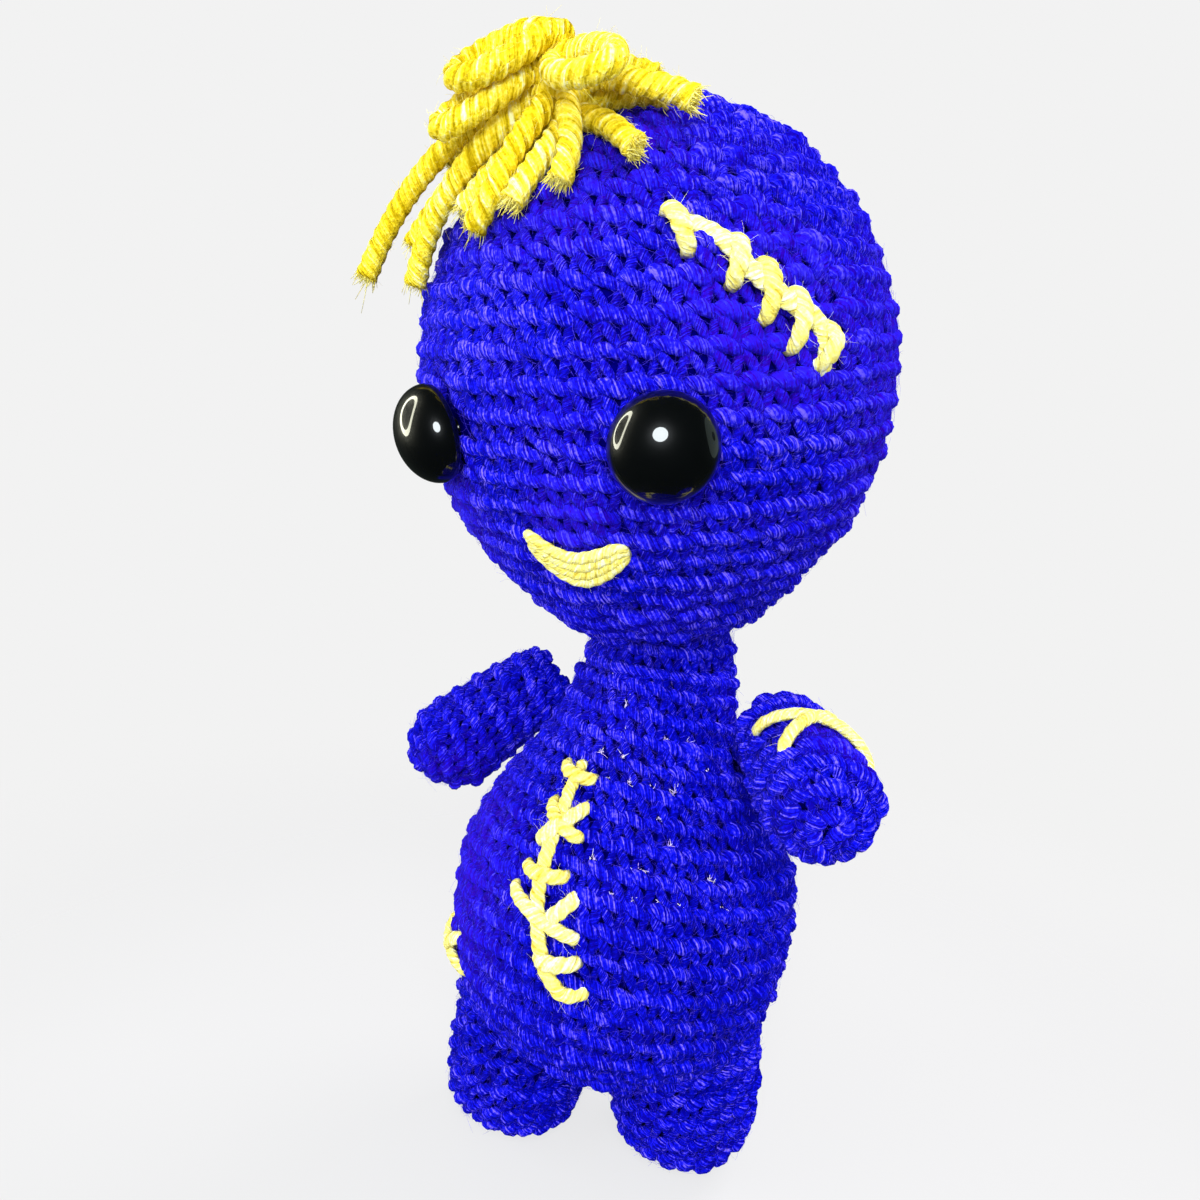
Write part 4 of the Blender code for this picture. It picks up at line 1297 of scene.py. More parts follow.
@dataclass
class Torso:
    """The torso: a pear of crochet."""

    frames: DollFrames
    belly_height: float = 0.052
    belly_radius: float = 0.0335
    crotch_height: float = 0.016
    rim_height: float = 0.094
    rim_radius: float = 0.0165
    belly_fullness: float = 2.5
    shoulder_fullness: float = 1.05
    socket_radius: float = 0.0137
    rim_drop: float = 0.003
    arm_root_radius: float = 0.009
    stuffing_reach: float = 0.042
    stuffing_share: float = 0.42
    crochet: Crochet = field(default_factory=Crochet)
    fuzz: Fuzz = field(default_factory=Fuzz)

    def radius_at(self, height: np.ndarray) -> np.ndarray:
        """Outer radius at a height.

        Below the belly it is R (1 - d^n)^(1/n) of the drop d as a share; above, it falls to the
        rim as half a cosine of the rise's share to a power.
        """
        drop = np.clip((self.belly_height - height) / (self.belly_height - self.crotch_height), 0, 1)
        low = self.belly_radius * (1 - drop**self.belly_fullness) ** (1 / self.belly_fullness)
        rise = np.clip((height - self.belly_height) / (self.rim_height - self.belly_height), 0, 1)
        blend = 0.5 + 0.5 * np.cos(math.pi * rise**self.shoulder_fullness)
        high = self.rim_radius + (self.belly_radius - self.rim_radius) * blend
        return np.where(height < self.belly_height, low, high)

    def outline(self, count: int) -> np.ndarray:
        """Outline from the rim down to the crotch, crowded towards the crotch."""
        upper = np.linspace(self.rim_height, self.belly_height, count // 2)
        share = np.sin(0.5 * math.pi * np.linspace(0, 1, count // 2 + 1)[1:])
        lower = self.belly_height - (self.belly_height - self.crotch_height) * share
        heights = np.concatenate((upper, lower))
        radii = self.radius_at(heights)
        radii[-1] = 0.0
        return np.stack((radii, heights), axis=-1)

    def skin(self) -> Skin:
        """The torso's outer surface from rim to crotch."""
        return Skin(self.outline(400), Run.DOWN, self.frames.torso)

    def spot(self, round_deg: np.ndarray, share: np.ndarray, lift: np.ndarray) -> Pair:
        """Points and normals off the torso at angles and shares of the rim's height."""
        angle, height = np.radians(round_deg), np.asarray(share) * self.rim_height
        radius = self.radius_at(height) + lift
        normal = np.stack((np.sin(angle), -np.cos(angle), 0 * angle), axis=-1)
        point = normal * radius[..., None] + upright(height)
        return move_points(point, self.frames.torso), turn_vectors(normal, self.frames.torso)

    def painted_shade_sheet(self) -> Patch:
        """The dark skin under the stitches, which paints the shading in their holes, with a cup for the
        ball of the neck.
        """
        sink = self.crochet.backing_sink
        skin = sunk_outline(self.outline(60), Run.DOWN, sink)
        skin[-1] = (0.0, self.crotch_height + sink)
        rise = np.linspace(-math.pi / 2, -math.asin(self.rim_drop / self.socket_radius), 10)
        ball = arc(self.socket_radius, rise, self.frames.neck_height)
        ball[0, 0] = 0.0
        return turned_patch(np.concatenate((ball, skin)), 80, self.frames.torso, slot=1)

    def stuffing(self, skin: Skin) -> Patch:
        """Bits of white filling in some of the holes above the belly, on the left of its front.

        A hole lies at the side of each stitch, a quarter of a round above its foot.
        """
        rng = np.random.default_rng(24)
        turns, alongs, steps = self.crochet.spiral(skin, 0.0003, skin.length - 0.003)
        zone = (np.abs(turns % TAU - 0.55) < 0.65) & (alongs < self.stuffing_reach)
        chosen = np.flatnonzero(zone & (rng.random(len(turns)) < self.stuffing_share))
        each = 12
        turn = np.repeat(turns[chosen] - 0.55 * steps[chosen], each)
        turn = turn + rng.normal(0, 0.010, len(turn))
        along = np.repeat(alongs[chosen] + 0.28 * self.crochet.pitch, each)
        along = along + rng.normal(0, 0.00028, len(along))
        root, normal = skin.at(turn, along, np.full(len(along), -self.crochet.sink * 0.55))
        fibres = Fuzz(length=0.00045, radius=0.000085, rise=0.5)
        return fibres.strands(root, normal, rng, slot=3)

    def build(self, legs: Sequence["Leg"]) -> bpy.types.Object:
        """Build the crocheted torso.

        Args:
            legs: the legs, which the torso's stitches leave room for.

        Returns:
            The torso's object.
        """
        skin = self.skin()
        joints = (self.frames.left_arm_joint, self.frames.right_arm_joint)
        leg_skins = [leg.skin() for leg in legs]

        def outside_limbs(points: np.ndarray) -> np.ndarray:
            """Whether points lie outside the arms' roots and the legs."""
            clear = np.ones(len(points), dtype=bool)
            for joint in joints:
                away = np.linalg.norm(points - np.array(joint), axis=1)
                clear &= away > self.arm_root_radius + 0.0004
            for leg_skin in leg_skins:
                clear &= leg_skin.depth_below(points) < LIMB_OVERLAP
            return clear

        last = skin.length - 0.003
        patches = self.crochet.lay(skin, 21, start=0.0003, end=last, keep=outside_limbs)
        patches.append(self.fuzz.grow(skin, 22, 0.001, last, keep=outside_limbs))
        patches.append(self.stuffing(skin))
        patches.append(self.painted_shade_sheet())
        piece = weld_patches("torso_crochet", patches, finishes(*CLOTH))
        return register(piece, "torso", ("torso_cover", "torso_filling"))


@dataclass
class Neck:
    """The neck: a short waisted tube of crochet round the ball between head and torso."""

    frames: DollFrames
    ball_radius: float = 0.0134
    waist_radius: float = 0.0151
    flare: float = 0.0015
    waist_height: float = 0.0015
    top: float = 0.0105
    bottom: float = -0.0065
    tilt_deg: float = 2.0
    crochet: Crochet = field(default_factory=Crochet)
    fuzz: Fuzz = field(default_factory=Fuzz)

    def outline(self, sink: float) -> np.ndarray:
        """Outline from the ball's top, out to the tube, down it and back in below.

        Above the waist the tube is round like a ball, so that the head slides over it. Below,
        its radius is the waist's plus the flare times the squared share of the way down.

        Args:
            sink: how far inside the surface the outline lies.

        Returns:
            Radii and heights.
        """
        height = np.linspace(self.top, self.bottom, 60)
        above = np.clip(height - self.waist_height, 0, None)
        below = np.clip(self.waist_height - height, 0, None) / (self.waist_height - self.bottom)
        radius = np.sqrt(self.waist_radius**2 - above**2) + self.flare * below**2
        tube = np.stack((radius - sink, height), axis=-1)
        inner = self.ball_radius * 0.7
        lid = [[0.0, self.ball_radius - sink], [inner, self.top + 0.0012 - sink]]
        base = [[inner, self.bottom - 0.0016 + sink], [0.0, sink - self.ball_radius]]
        return np.concatenate((lid, tube, base))

    def build(self) -> bpy.types.Object:
        """Build the crocheted neck.

        Returns:
            The neck's object.
        """
        turn = Matrix.Rotation(math.radians(self.tilt_deg), 4, "X")
        place = Matrix.Translation(self.frames.neck_joint) @ turn
        skin = Skin(self.outline(0.0), Run.DOWN, place)
        first, last = skin.lengths[2], skin.lengths[-3]
        patches = self.crochet.lay(skin, 31, start=first - 0.001, end=last + 0.001)
        patches.append(self.fuzz.grow(skin, 32, first, last))
        # The dark sheet under the stitches paints the shading in their holes.
        patches.append(turned_patch(self.outline(self.crochet.backing_sink), 64, place, slot=1))
        piece = weld_patches("neck_crochet", patches, finishes(*CLOTH))
        return register(piece, "neck", ("neck_cover", "neck_filling"))


@dataclass
class Arm:
    """One arm: a ball at the shoulder that swells to a round hand."""

    side: Side
    joint: Vector
    heading_deg: float
    drop_deg: float
    root_radius: float = 0.009
    radius: float = 0.0099
    reach: float = 0.0205
    crochet: Crochet = field(default_factory=Crochet)
    fuzz: Fuzz = field(default_factory=Fuzz)

    @property
    def place(self) -> Matrix:
        """Frame of the arm: +Z out along it, +Y its top."""
        heading, drop = math.radians(self.heading_deg), math.radians(self.drop_deg)
        outward = Vector(
            (
                self.side.sign * math.cos(heading) * math.cos(drop),
                -math.sin(heading) * math.cos(drop),
                -math.sin(drop),
            )
        )
        sideways = Vector((0, 0, 1)).cross(outward).normalized()
        upward = outward.cross(sideways)
        return Matrix.Translation(self.joint) @ axes_turn(sideways, upward, outward)

    def radius_at(self, along: np.ndarray) -> np.ndarray:
        """Outer radius at a distance out from the joint."""
        root = np.sqrt(np.maximum(self.root_radius**2 - along**2, 0.0))
        blend = 0.5 - 0.5 * np.cos(math.pi * np.clip(along / self.reach, 0, 1))
        shaft = self.root_radius + (self.radius - self.root_radius) * blend
        tip = np.sqrt(np.maximum(self.radius**2 - (along - self.reach) ** 2, 0.0))
        return np.where(along <= 0, root, np.where(along >= self.reach, tip, shaft))

    def outline(self, count: int) -> np.ndarray:
        """Outline from the tip of the hand back to the root's pole."""
        share = np.cos(math.pi / 2 * np.linspace(0, 1, count // 3))
        hand = self.reach + self.radius * share
        shaft = np.linspace(self.reach, 0, count // 3)[1:]
        root = -self.root_radius * np.sin(math.pi / 2 * np.linspace(0, 1, count // 3))[1:]
        along = np.concatenate((hand, shaft, root))
        radii = self.radius_at(along)
        radii[0] = radii[-1] = 0.0
        return np.stack((radii, along), axis=-1)

    def skin(self) -> Skin:
        """The arm's outer surface from the hand's tip to its root."""
        return Skin(self.outline(300), Run.DOWN, self.place)

    def spot(self, round_deg: np.ndarray, share: np.ndarray, lift: np.ndarray) -> Pair:
        """Points and normals off the arm at angles round it and shares of its reach."""
        angle, along = np.radians(round_deg), np.asarray(share) * self.reach
        radius = self.radius_at(along) + lift
        normal = np.stack((np.sin(angle), np.cos(angle), 0 * angle), axis=-1)
        point = normal * radius[..., None] + upright(along)
        return move_points(point, self.place), turn_vectors(normal, self.place)

    def build(self) -> bpy.types.Object:
        """Build the crocheted arm.

        Returns:
            The arm's object.
        """
        skin = self.skin()
        name = self.side.value + "_arm"
        shaft_end = skin.length - self.root_radius * math.pi / 2 + 0.0085
        patches = self.crochet.lay(skin, 41 + self.side.sign, start=0.0022, end=shaft_end)
        patches.append(self.fuzz.grow(skin, 51 + self.side.sign, 0.0, shaft_end - 0.006))
        # The dark sheet under the stitches paints the shading in their holes.
        outline, sink = self.outline(60), self.crochet.backing_sink
        painted_shade_sheet = sunk_outline(outline, Run.DOWN, sink)
        painted_shade_sheet[0] = (0.0, outline[0, 1] - sink)
        painted_shade_sheet[-1] = (0.0, outline[-1, 1] + sink)
        patches.append(turned_patch(painted_shade_sheet, 40, self.place, slot=1))
        piece = weld_patches(name + "_crochet", patches, finishes(*CLOTH))
        return register(piece, name, (name + "_cover", name + "_filling"))


@dataclass
class Leg:
    """One leg: a round-ended tube from the floor into the torso."""

    side: Side
    frames: DollFrames
    forward: float
    radius: float = 0.0146
    spread: float = 0.0156
    end_length: float = 0.0140
    fullness: float = 2.7
    hip_height: float = 0.034
    hip_back: float = 0.0066
    hip_follow: float = 0.35
    sole_depth: float = 0.0005
    crochet: Crochet = field(default_factory=Crochet)
    fuzz: Fuzz = field(default_factory=Fuzz)

    def outline(self, count: int) -> np.ndarray:
        """Outline from the tip of the foot, at height 0, up to the hip."""
        share = np.sin(0.5 * math.pi * np.linspace(0, 1, count))
        rise = self.end_length * (1 - share[::-1])
        drop = (self.end_length - rise) / self.end_length
        radius = self.radius * (1 - np.clip(drop, 0, 1) ** self.fullness) ** (1 / self.fullness)
        radius[0] = 0.0
        shaft = np.linspace(self.end_length, self.hip_height, count)[1:]
        foot = np.stack((radius, rise), axis=-1)
        tube = np.stack((np.full(len(shaft), self.radius), shaft), axis=-1)
        return np.concatenate((foot, tube))

    @property
    def place(self) -> Matrix:
        """Frame of the leg: +Z up it from the tip of the foot."""
        hip = self.frames.lean @ Vector((0, 0, self.hip_height))
        hip.x = self.side.sign * self.spread
        hip.y -= self.forward * self.hip_follow
        foot = Vector((hip.x, self.hip_back - self.forward, 0))
        upward = (hip - foot).normalized()
        tilt = math.acos(upward.z)
        outline = self.outline(40)
        reach = float(np.min(outline[:, 1] * math.cos(tilt) - outline[:, 0] * math.sin(tilt)))
        start = foot + Vector((0, 0, -self.sole_depth - reach))
        sideways = Vector((0, -1, 0)).cross(upward).normalized()
        turn = axes_turn(sideways, upward.cross(sideways), upward)
        return self.frames.doll @ Matrix.Translation(start) @ turn

    def skin(self) -> Skin:
        """The leg's outer surface from the foot's tip to the hip."""
        return Skin(self.outline(200), Run.UP, self.place)

    def build(self, torso: Torso) -> bpy.types.Object:
        """Build the crocheted leg.

        Args:
            torso: the torso, which the leg's stitches end at.

        Returns:
            The leg's object.
        """
        skin = self.skin()
        torso_skin = torso.skin()

        def outside_torso(points: np.ndarray) -> np.ndarray:
            """Whether points lie outside the torso, with a little overlap."""
            inside = torso_skin.depth_below(points)
            return (inside < LIMB_OVERLAP) & (points[:, 2] > 0.0004)

        sign, last = self.side.sign, skin.length
        patches = self.crochet.lay(skin, 61 + sign, start=0.0022, end=last, keep=outside_torso)
        patches.append(self.fuzz.grow(skin, 71 + sign, 0.004, last, keep=outside_torso))
        # The dark sheet under the stitches paints the shading in their holes.
        sink = self.crochet.backing_sink
        painted_shade_sheet = sunk_outline(self.outline(30), Run.UP, sink)
        painted_shade_sheet[0] = (0.0, sink)
        painted_shade_sheet = np.concatenate((painted_shade_sheet, [[0.0, self.hip_height]]))[::-1]
        patches.append(turned_patch(painted_shade_sheet, 48, self.place, slot=1))
        for patch in patches:
            patch.points[:, 2] = np.maximum(patch.points[:, 2], 0.00005)
        name = self.side.value + "_leg"
        piece = weld_patches(name + "_crochet", patches, finishes(*CLOTH))
        return register(piece, "torso", (name + "_cover", name + "_filling"))


@dataclass
class SafetyEye:
    """A glossy dome on a ribbed post, pushed through the head and held by a washer."""

    side: Side
    head: Head
    radius: float = 0.0077
    dome_height: float = 0.0059
    edge_height: float = 0.0010
    post_radius: float = 0.0018
    rib_radius: float = 0.0024
    rib_pitch: float = 0.0024
    ribs: int = 3
    wall: float = 0.0025
    lift: float = 0.0005

    @property
    def place(self) -> Matrix:
        """Frame of the eye, whose dome starts just off the head."""
        return self.head.standing(*EYE_PLACES[self.side], self.lift)

    def profile(self) -> np.ndarray:
        """Outline from the dome's top, over its edge and down the post's ribs.

        The dome is a quarter of an ellipse, its edge is a quarter of a circle, and each rib is
        a cone that points back through the cloth.
        """
        rise = np.linspace(math.pi / 2, 0, 40)
        dome = np.stack(
            (self.radius * np.cos(rise), self.edge_height + self.dome_height * np.sin(rise)), axis=-1
        )
        dome[0, 0] = 0.0
        bend = np.linspace(0, math.pi / 2, 8)[1:]
        rim = self.edge_height / 2
        reach = self.radius - rim + rim * np.cos(bend)
        edge = np.stack((reach, self.edge_height - rim * 2 * np.sin(bend)), axis=-1)
        post = [(self.post_radius * 1.3, -0.0001), (self.post_radius, -0.0006)]
        for rib in range(self.ribs):
            top = -(self.wall + self.rib_pitch * rib)
            post += [
                (self.post_radius, top),
                (self.rib_radius, top - self.rib_pitch / 4),
                (self.post_radius, top - self.rib_pitch / 3),
            ]
        end = -(self.wall + self.rib_pitch * self.ribs)
        post += [(self.post_radius, end), (self.post_radius / 2, end - self.post_radius / 2)]
        post.append((0.0, end - self.post_radius / 2))
        return np.concatenate((dome, edge, np.array(post)))

    def build(self) -> bpy.types.Object:
        """Build the eye.

        Returns:
            The eye's object.
        """
        name = self.side.value + "_eye"
        patch = turned_patch(self.profile(), 72, self.place)
        piece = weld_patches(name + "_moulding", [patch], (FINISHES["eye"],))
        piece.data.set_sharp_from_angle(angle=math.radians(60))
        return register(piece, "head", (name,))


Place = Callable[[np.ndarray, np.ndarray, np.ndarray], Pair]


@dataclass
class Embroidery:
    """One stitched mark: strands of plied yarn laid flat on a surface.

    A stitch's lift is -dip + (height + dip + hump) * sin(pi s)^0.55 for s from one end to the
    other, so that its ends go down between the blue stitches.
    """

    name: str
    body: str
    spot: Place
    line: tuple[tuple[float, float], ...]
    crosses: tuple[tuple[tuple[float, float], tuple[float, float]], ...]
    radius: float = 0.00130
    flatness: float = 0.70
    dip: float = 0.0012
    hump: float = 0.0009
    ply_pitch: float = 0.0060

    def build(self) -> bpy.types.Object:
        """Build the mark.

        Returns:
            Its object.
        """
        rng = np.random.default_rng(len(self.name) * 7 + len(self.crosses))
        patches = []
        if self.line:
            patches += self._strand(smooth_route(self.line, 12), 0.0, rng)
        for start, end in self.crosses:
            share = np.linspace(0, 1, 22)[:, None]
            route = np.array(start) * (1 - share) + np.array(end) * share
            patches += self._strand(route, self.hump if self.line else self.hump / 2, rng)
        piece = weld_patches(self.name + "_stitches", patches, finishes("lemon", "lemon_fuzz"))
        return register(piece, self.body, (self.name,))

    def _strand(self, route: np.ndarray, hump: float, rng: np.random.Generator) -> list[Patch]:
        """Sweep one strand over the surface and add its stray fibres."""
        share = np.linspace(0, 1, len(route))
        lift = -self.dip + (self.radius * 0.8 + self.dip + hump) * np.sin(math.pi * share) ** 0.55
        sway = np.cumsum(rng.normal(0, 0.08, len(route)))
        sway = sway - sway[0] - (sway[-1] - sway[0]) * share
        points, normals = self.spot(route[:, 0] + sway, route[:, 1], lift)
        swell = 0.80 + 0.20 * np.sin(math.pi * share) ** 0.4
        radius = self.radius * swell * (1 + rng.normal(0, 0.02, len(route)))
        body = sweep_one(
            points,
            normals,
            radius,
            14,
            0.55,
            rng.random(1),
            flatness=self.flatness,
            lobes=3,
            lobe_depth=0.09,
            twist_pitch=self.ply_pitch,
        )
        count = 3 * len(route)
        pick = rng.integers(1, len(route) - 1, count)
        loose = Fuzz(length=0.0008, radius=0.000024, rise=0.25)
        offset = unit(np.cross(normals[pick], np.gradient(points, axis=0)[pick]))
        root = points[pick] + offset * rng.uniform(-1, 1, (count, 1)) * self.radius * 0.9
        return [body, loose.strands(root, normals[pick], rng, slot=1)]


@dataclass(frozen=True)
class HairStrand:
    """A strand of the tuft: where it leaves the knot, where it ends and how it turns."""

    heading_deg: float
    bend_deg: float
    reach: float
    layer: int
    tip: float


@dataclass(frozen=True)
class HairLoop:
    """A loop of the tuft, whose two ends are in the knot."""

    seat: Seat
    heading_deg: float
    lean_deg: float
    length: float
    width: float


@dataclass
class Hair:
    """The tuft: a wound knot on the crown, two-ply strands out of it and three loops."""

    head: Head
    radius: float = 0.0016
    gap: float = 0.0003
    knot_radius: float = 0.0044
    knot_height: float = 0.0094
    knot_turns: float = 3.2
    knot_longitude_deg: float = -2.0
    knot_latitude_deg: float = 56.0
    fall_power: float = 1.6
    ply_depth: float = 0.09
    ply_pitch: float = 0.0066
    frayed_fibres: int = 260
    strands: tuple[HairStrand, ...] = (
        HairStrand(-84, 18, 0.675, 0, 2.3),
        HairStrand(-36, -8, 0.42, 0, 1.0),
        HairStrand(12, -18, 0.375, 0, 1.3),
        HairStrand(60, 0, 0.35, 0, 1.3),
        HairStrand(120, -8, 0.30, 0, 1.0),
        HairStrand(-132, 40, 0.525, 0, 3.6),
        HairStrand(-96, 30, 0.85, 1, 6.0),
        HairStrand(-48, -6, 0.725, 1, 1.3),
        HairStrand(0, -26, 0.45, 1, 1.0),
        HairStrand(48, -30, 0.32, 1, 1.0),
        HairStrand(96, -4, 0.40, 1, 2.3),
        HairStrand(156, -4, 0.34, 1, 1.0),
        HairStrand(-144, -2, 0.32, 1, 1.0),
    )
    loops: tuple[HairLoop, ...] = (
        HairLoop(Seat.TOP, -50, 90, 8.0, 5.0),
        HairLoop(Seat.SIDE, -50, 96, 9.0, 3.5),
        HairLoop(Seat.SIDE, 60, 88, 8.0, 4.0),
    )

    @property
    def place(self) -> Matrix:
        """Frame of the knot, a gap off the head."""
        return self.head.standing(self.knot_longitude_deg, self.knot_latitude_deg, self.gap)

    def layer_lift(self, layer: float) -> float:
        """Height of a layer's middle over the head."""
        return self.gap + self.radius + (2 * self.radius + self.gap) * layer

    def over_head(self, heading: np.ndarray, reach: np.ndarray, lift: np.ndarray) -> Pair:
        """Points over the head, out from the knot.

        The direction from the head's middle is the knot's direction turned by the reach, as a
        share of the head's radius, towards the heading, 0 being down the face.

        Args:
            heading: headings in degrees.
            reach: angles out from the knot in radians.
            lift: heights off the surface.

        Returns:
            World points and outward directions.
        """
        head = self.head
        matrix = np.array(head.place.inverted() @ self.place)
        knot = unit(matrix[:3, 3])
        angle = np.radians(heading)
        tangent = matrix[:3, 0] * np.sin(angle)[:, None] - matrix[:3, 1] * np.cos(angle)[:, None]
        direction = unit(knot * np.cos(reach)[:, None] + tangent * np.sin(reach)[:, None])
        height, fullness = head.half(direction[:, 2] >= 0)
        flat = np.hypot(direction[:, 0], direction[:, 1])
        spread = (flat / head.radius) ** fullness + (np.abs(direction[:, 2]) / height) ** fullness
        points = direction * (spread ** (-1 / fullness) + lift)[:, None]
        return move_points(points, head.place), turn_vectors(direction, head.place)

    def strand_route(self, strand: HairStrand, count: int) -> Pair:
        """A strand's route: out of the knot's core, level at first, then down to its tip."""
        base, tip = self.layer_lift(strand.layer), self.gap + self.radius * strand.tip
        share = np.linspace(0, 1, count)
        start = 0.4 * self.knot_radius / self.head.radius
        lift = base + (tip - base) * share**self.fall_power
        return self.over_head(
            strand.heading_deg + strand.bend_deg * share, start + (strand.reach - start) * share, lift
        )

    def loop_route(self, loop: HairLoop, count: int) -> Pair:
        """A loop's route: an ellipse that leans out of the knot, with its ends in the knot.

        Its points are seat + lean * half_length (cos opening - cos angle) + across *
        half_width sin angle, for angles from the opening round to the opening again.
        """
        heading, lean = math.radians(loop.heading_deg), math.radians(loop.lean_deg)
        away = np.array([math.sin(heading), -math.cos(heading), 0.0])
        outward = np.array([0.0, 0.0, 1.0])
        line = away * math.sin(lean) + outward * math.cos(lean)
        across = np.array([math.cos(heading), math.sin(heading), 0.0])
        if loop.seat is Seat.TOP:
            seat = outward * (self.knot_height + self.radius + 2 * self.gap)
        else:
            seat = away * self.knot_radius + outward * (self.layer_lift(2) - self.gap)
        half_length, half_width = loop.length * self.radius / 2, loop.width * self.radius / 2
        opening = math.asin((self.radius + self.gap) / half_width)
        angle = np.linspace(opening, TAU - opening, count - 8)
        ring = (
            seat
            + line * (half_length * (math.cos(opening) - np.cos(angle)))[:, None]
            + across * (half_width * np.sin(angle))[:, None]
        )
        below = self.radius if loop.seat is Seat.TOP else 0.0
        core = seat - line * self.knot_radius * 0.8 - outward * below
        share = (np.arange(4) / 4)[:, None]
        first = core + (ring[0] - core) * share
        last = (core + (ring[-1] - core) * share)[::-1]
        points = np.concatenate((first, ring, last))
        normals = np.broadcast_to(np.cross(across, line), points.shape)
        return move_points(points, self.place), turn_vectors(normals, self.place)

    def knot_route(self, count: int) -> Pair:
        """The knot's winding: a helix round +Z that closes in at its top."""
        share = np.linspace(0, 1, count)
        closing = np.clip(1 - np.clip(share * 4 - 3, 0, 1) ** 2, 0.04, 1)
        reach = (self.knot_radius - self.radius) * np.sqrt(closing)
        turn = TAU * self.knot_turns * share
        height = self.radius * 0.8 + (self.knot_height - 1.6 * self.radius) * share
        points = np.stack((reach * np.sin(turn), -reach * np.cos(turn), height), axis=-1)
        normals = np.stack((np.sin(turn), -np.cos(turn), 0.3 + 0 * turn), axis=-1)
        return move_points(points, self.place), turn_vectors(unit(normals), self.place)

    def build(self) -> list[bpy.types.Object]:
        """Build the knot, the strands and the loops.

        Returns:
            Their objects.
        """
        pieces = [self._yarn("hair_knot", *self.knot_route(120), 5, frayed=False)]
        for index, strand in enumerate(self.strands):
            route = self.strand_route(strand, 56)
            pieces.append(self._yarn(f"hair_strand_{index + 1:02d}", *route, 100 + index, frayed=True))
        for index, loop in enumerate(self.loops):
            route = self.loop_route(loop, 72)
            pieces.append(self._yarn(f"hair_loop_{index + 1}", *route, 200 + index, frayed=False))
        return pieces

    def _yarn(
        self, name: str, points: np.ndarray, normals: np.ndarray, seed: int, frayed: bool
    ) -> bpy.types.Object:
        """Sweep one length of two-ply yarn and add its fibres."""
        rng = np.random.default_rng(seed)
        count = len(points)
        share = np.linspace(0, 1, count)
        sideways = unit(np.cross(np.gradient(points, axis=0), normals))
        wave = np.sin(share * rng.uniform(5, 9) + rng.uniform(0, TAU))
        sway = wave * 0.00035 * np.minimum(share * 4, 1)
        points = points + sideways * sway[:, None]
        radius = np.full(count, self.radius)
        if frayed:
            radius = radius * (1 + 0.10 * np.clip(share * 8 - 7, 0, 1))
        body = sweep_one(
            points,
            normals,
            radius,
            18,
            0.50,
            rng.random(1),
            lobes=3,
            lobe_depth=self.ply_depth,
            twist_pitch=self.ply_pitch * rng.uniform(0.92, 1.08),
        )
        number = 3 * count
        pick = rng.integers(2, count - 1, number)
        around = rng.uniform(0, TAU, (number, 1))
        up = unit(np.cross(sideways, np.gradient(points, axis=0)))
        spread = sideways[pick] * np.cos(around) + up[pick] * np.sin(around)
        loose = Fuzz(length=0.0009, radius=0.000024, rise=0.22)
        root = points[pick] + spread * self.radius * 0.95
        patches = [body, loose.strands(root, spread, rng, slot=1)]
        if frayed:
            ahead = unit(points[-1] - points[-2])
            turn = rng.uniform(0, TAU, self.frayed_fibres)
            reach = self.radius * np.sqrt(rng.random(self.frayed_fibres))
            root = (
                points[-1]
                + sideways[-1] * (reach * np.cos(turn))[:, None]
                + up[-1] * (reach * np.sin(turn))[:, None]
            )
            end = Fuzz(length=0.00032, radius=0.00008, rise=1.6)
            along = np.broadcast_to(ahead, root.shape)
            patches.append(end.strands(root - ahead * 0.0001, along, rng, slot=1))
        piece = weld_patches(name + "_yarn", patches, finishes("hair", "hair_fuzz"))
        return register(piece, "head", (name,))


def embroideries(head: Head, torso: Torso, arm: Arm) -> list[Embroidery]:
    """The scars and the crosses.

    Args:
        head: the head, whose places are longitudes and latitudes.
        torso: the torso, whose places are angles and shares of its rim's height.
        arm: the left arm, whose places are angles and shares of its reach.

    Returns:
        The marks, ready to build.
    """
    forehead = Embroidery(
        "forehead_scar",
        "head",
        head.spot,
        ((32, 31), (39, 27), (44, 21), (50, 16), (56, 13), (59, 9), (60, 4)),
        (
            ((29, 33), (33, 25)),
            ((43, 27), (41, 19)),
            ((48, 23), (47, 13)),
            ((54, 18), (52, 8)),
            ((61, 12), (58, 5)),
        ),
    )
    belly = Embroidery(
        "belly_scar",
        "torso",
        torso.spot,
        (
            (-5, 0.81),
            (-3, 0.745),
            (-1, 0.67),
            (0, 0.595),
            (3, 0.52),
            (6, 0.47),
            (11, 0.436),
            (17, 0.447),
        ),
        (
            ((-12, 0.803), (4, 0.787)),
            ((-9, 0.739), (7, 0.691)),
            ((6, 0.745), (-7, 0.670)),
            ((-8, 0.628), (6, 0.628)),
            ((-11, 0.590), (13, 0.532)),
            ((11, 0.606), (3, 0.548)),
            ((1, 0.484), (14, 0.495)),
        ),
    )
    hip = Embroidery(
        "hip_cross", "torso", torso.spot, (), (((-40, 0.420), (-58, 0.351)), ((-59, 0.426), (-43, 0.340)))
    )
    cross = Embroidery(
        "arm_cross", "left_arm", arm.spot, (), (((-62, 0.30), (58, 0.98)), ((-44, 0.92), (38, 0.42)))
    )
    return [forehead, belly, hip, cross]


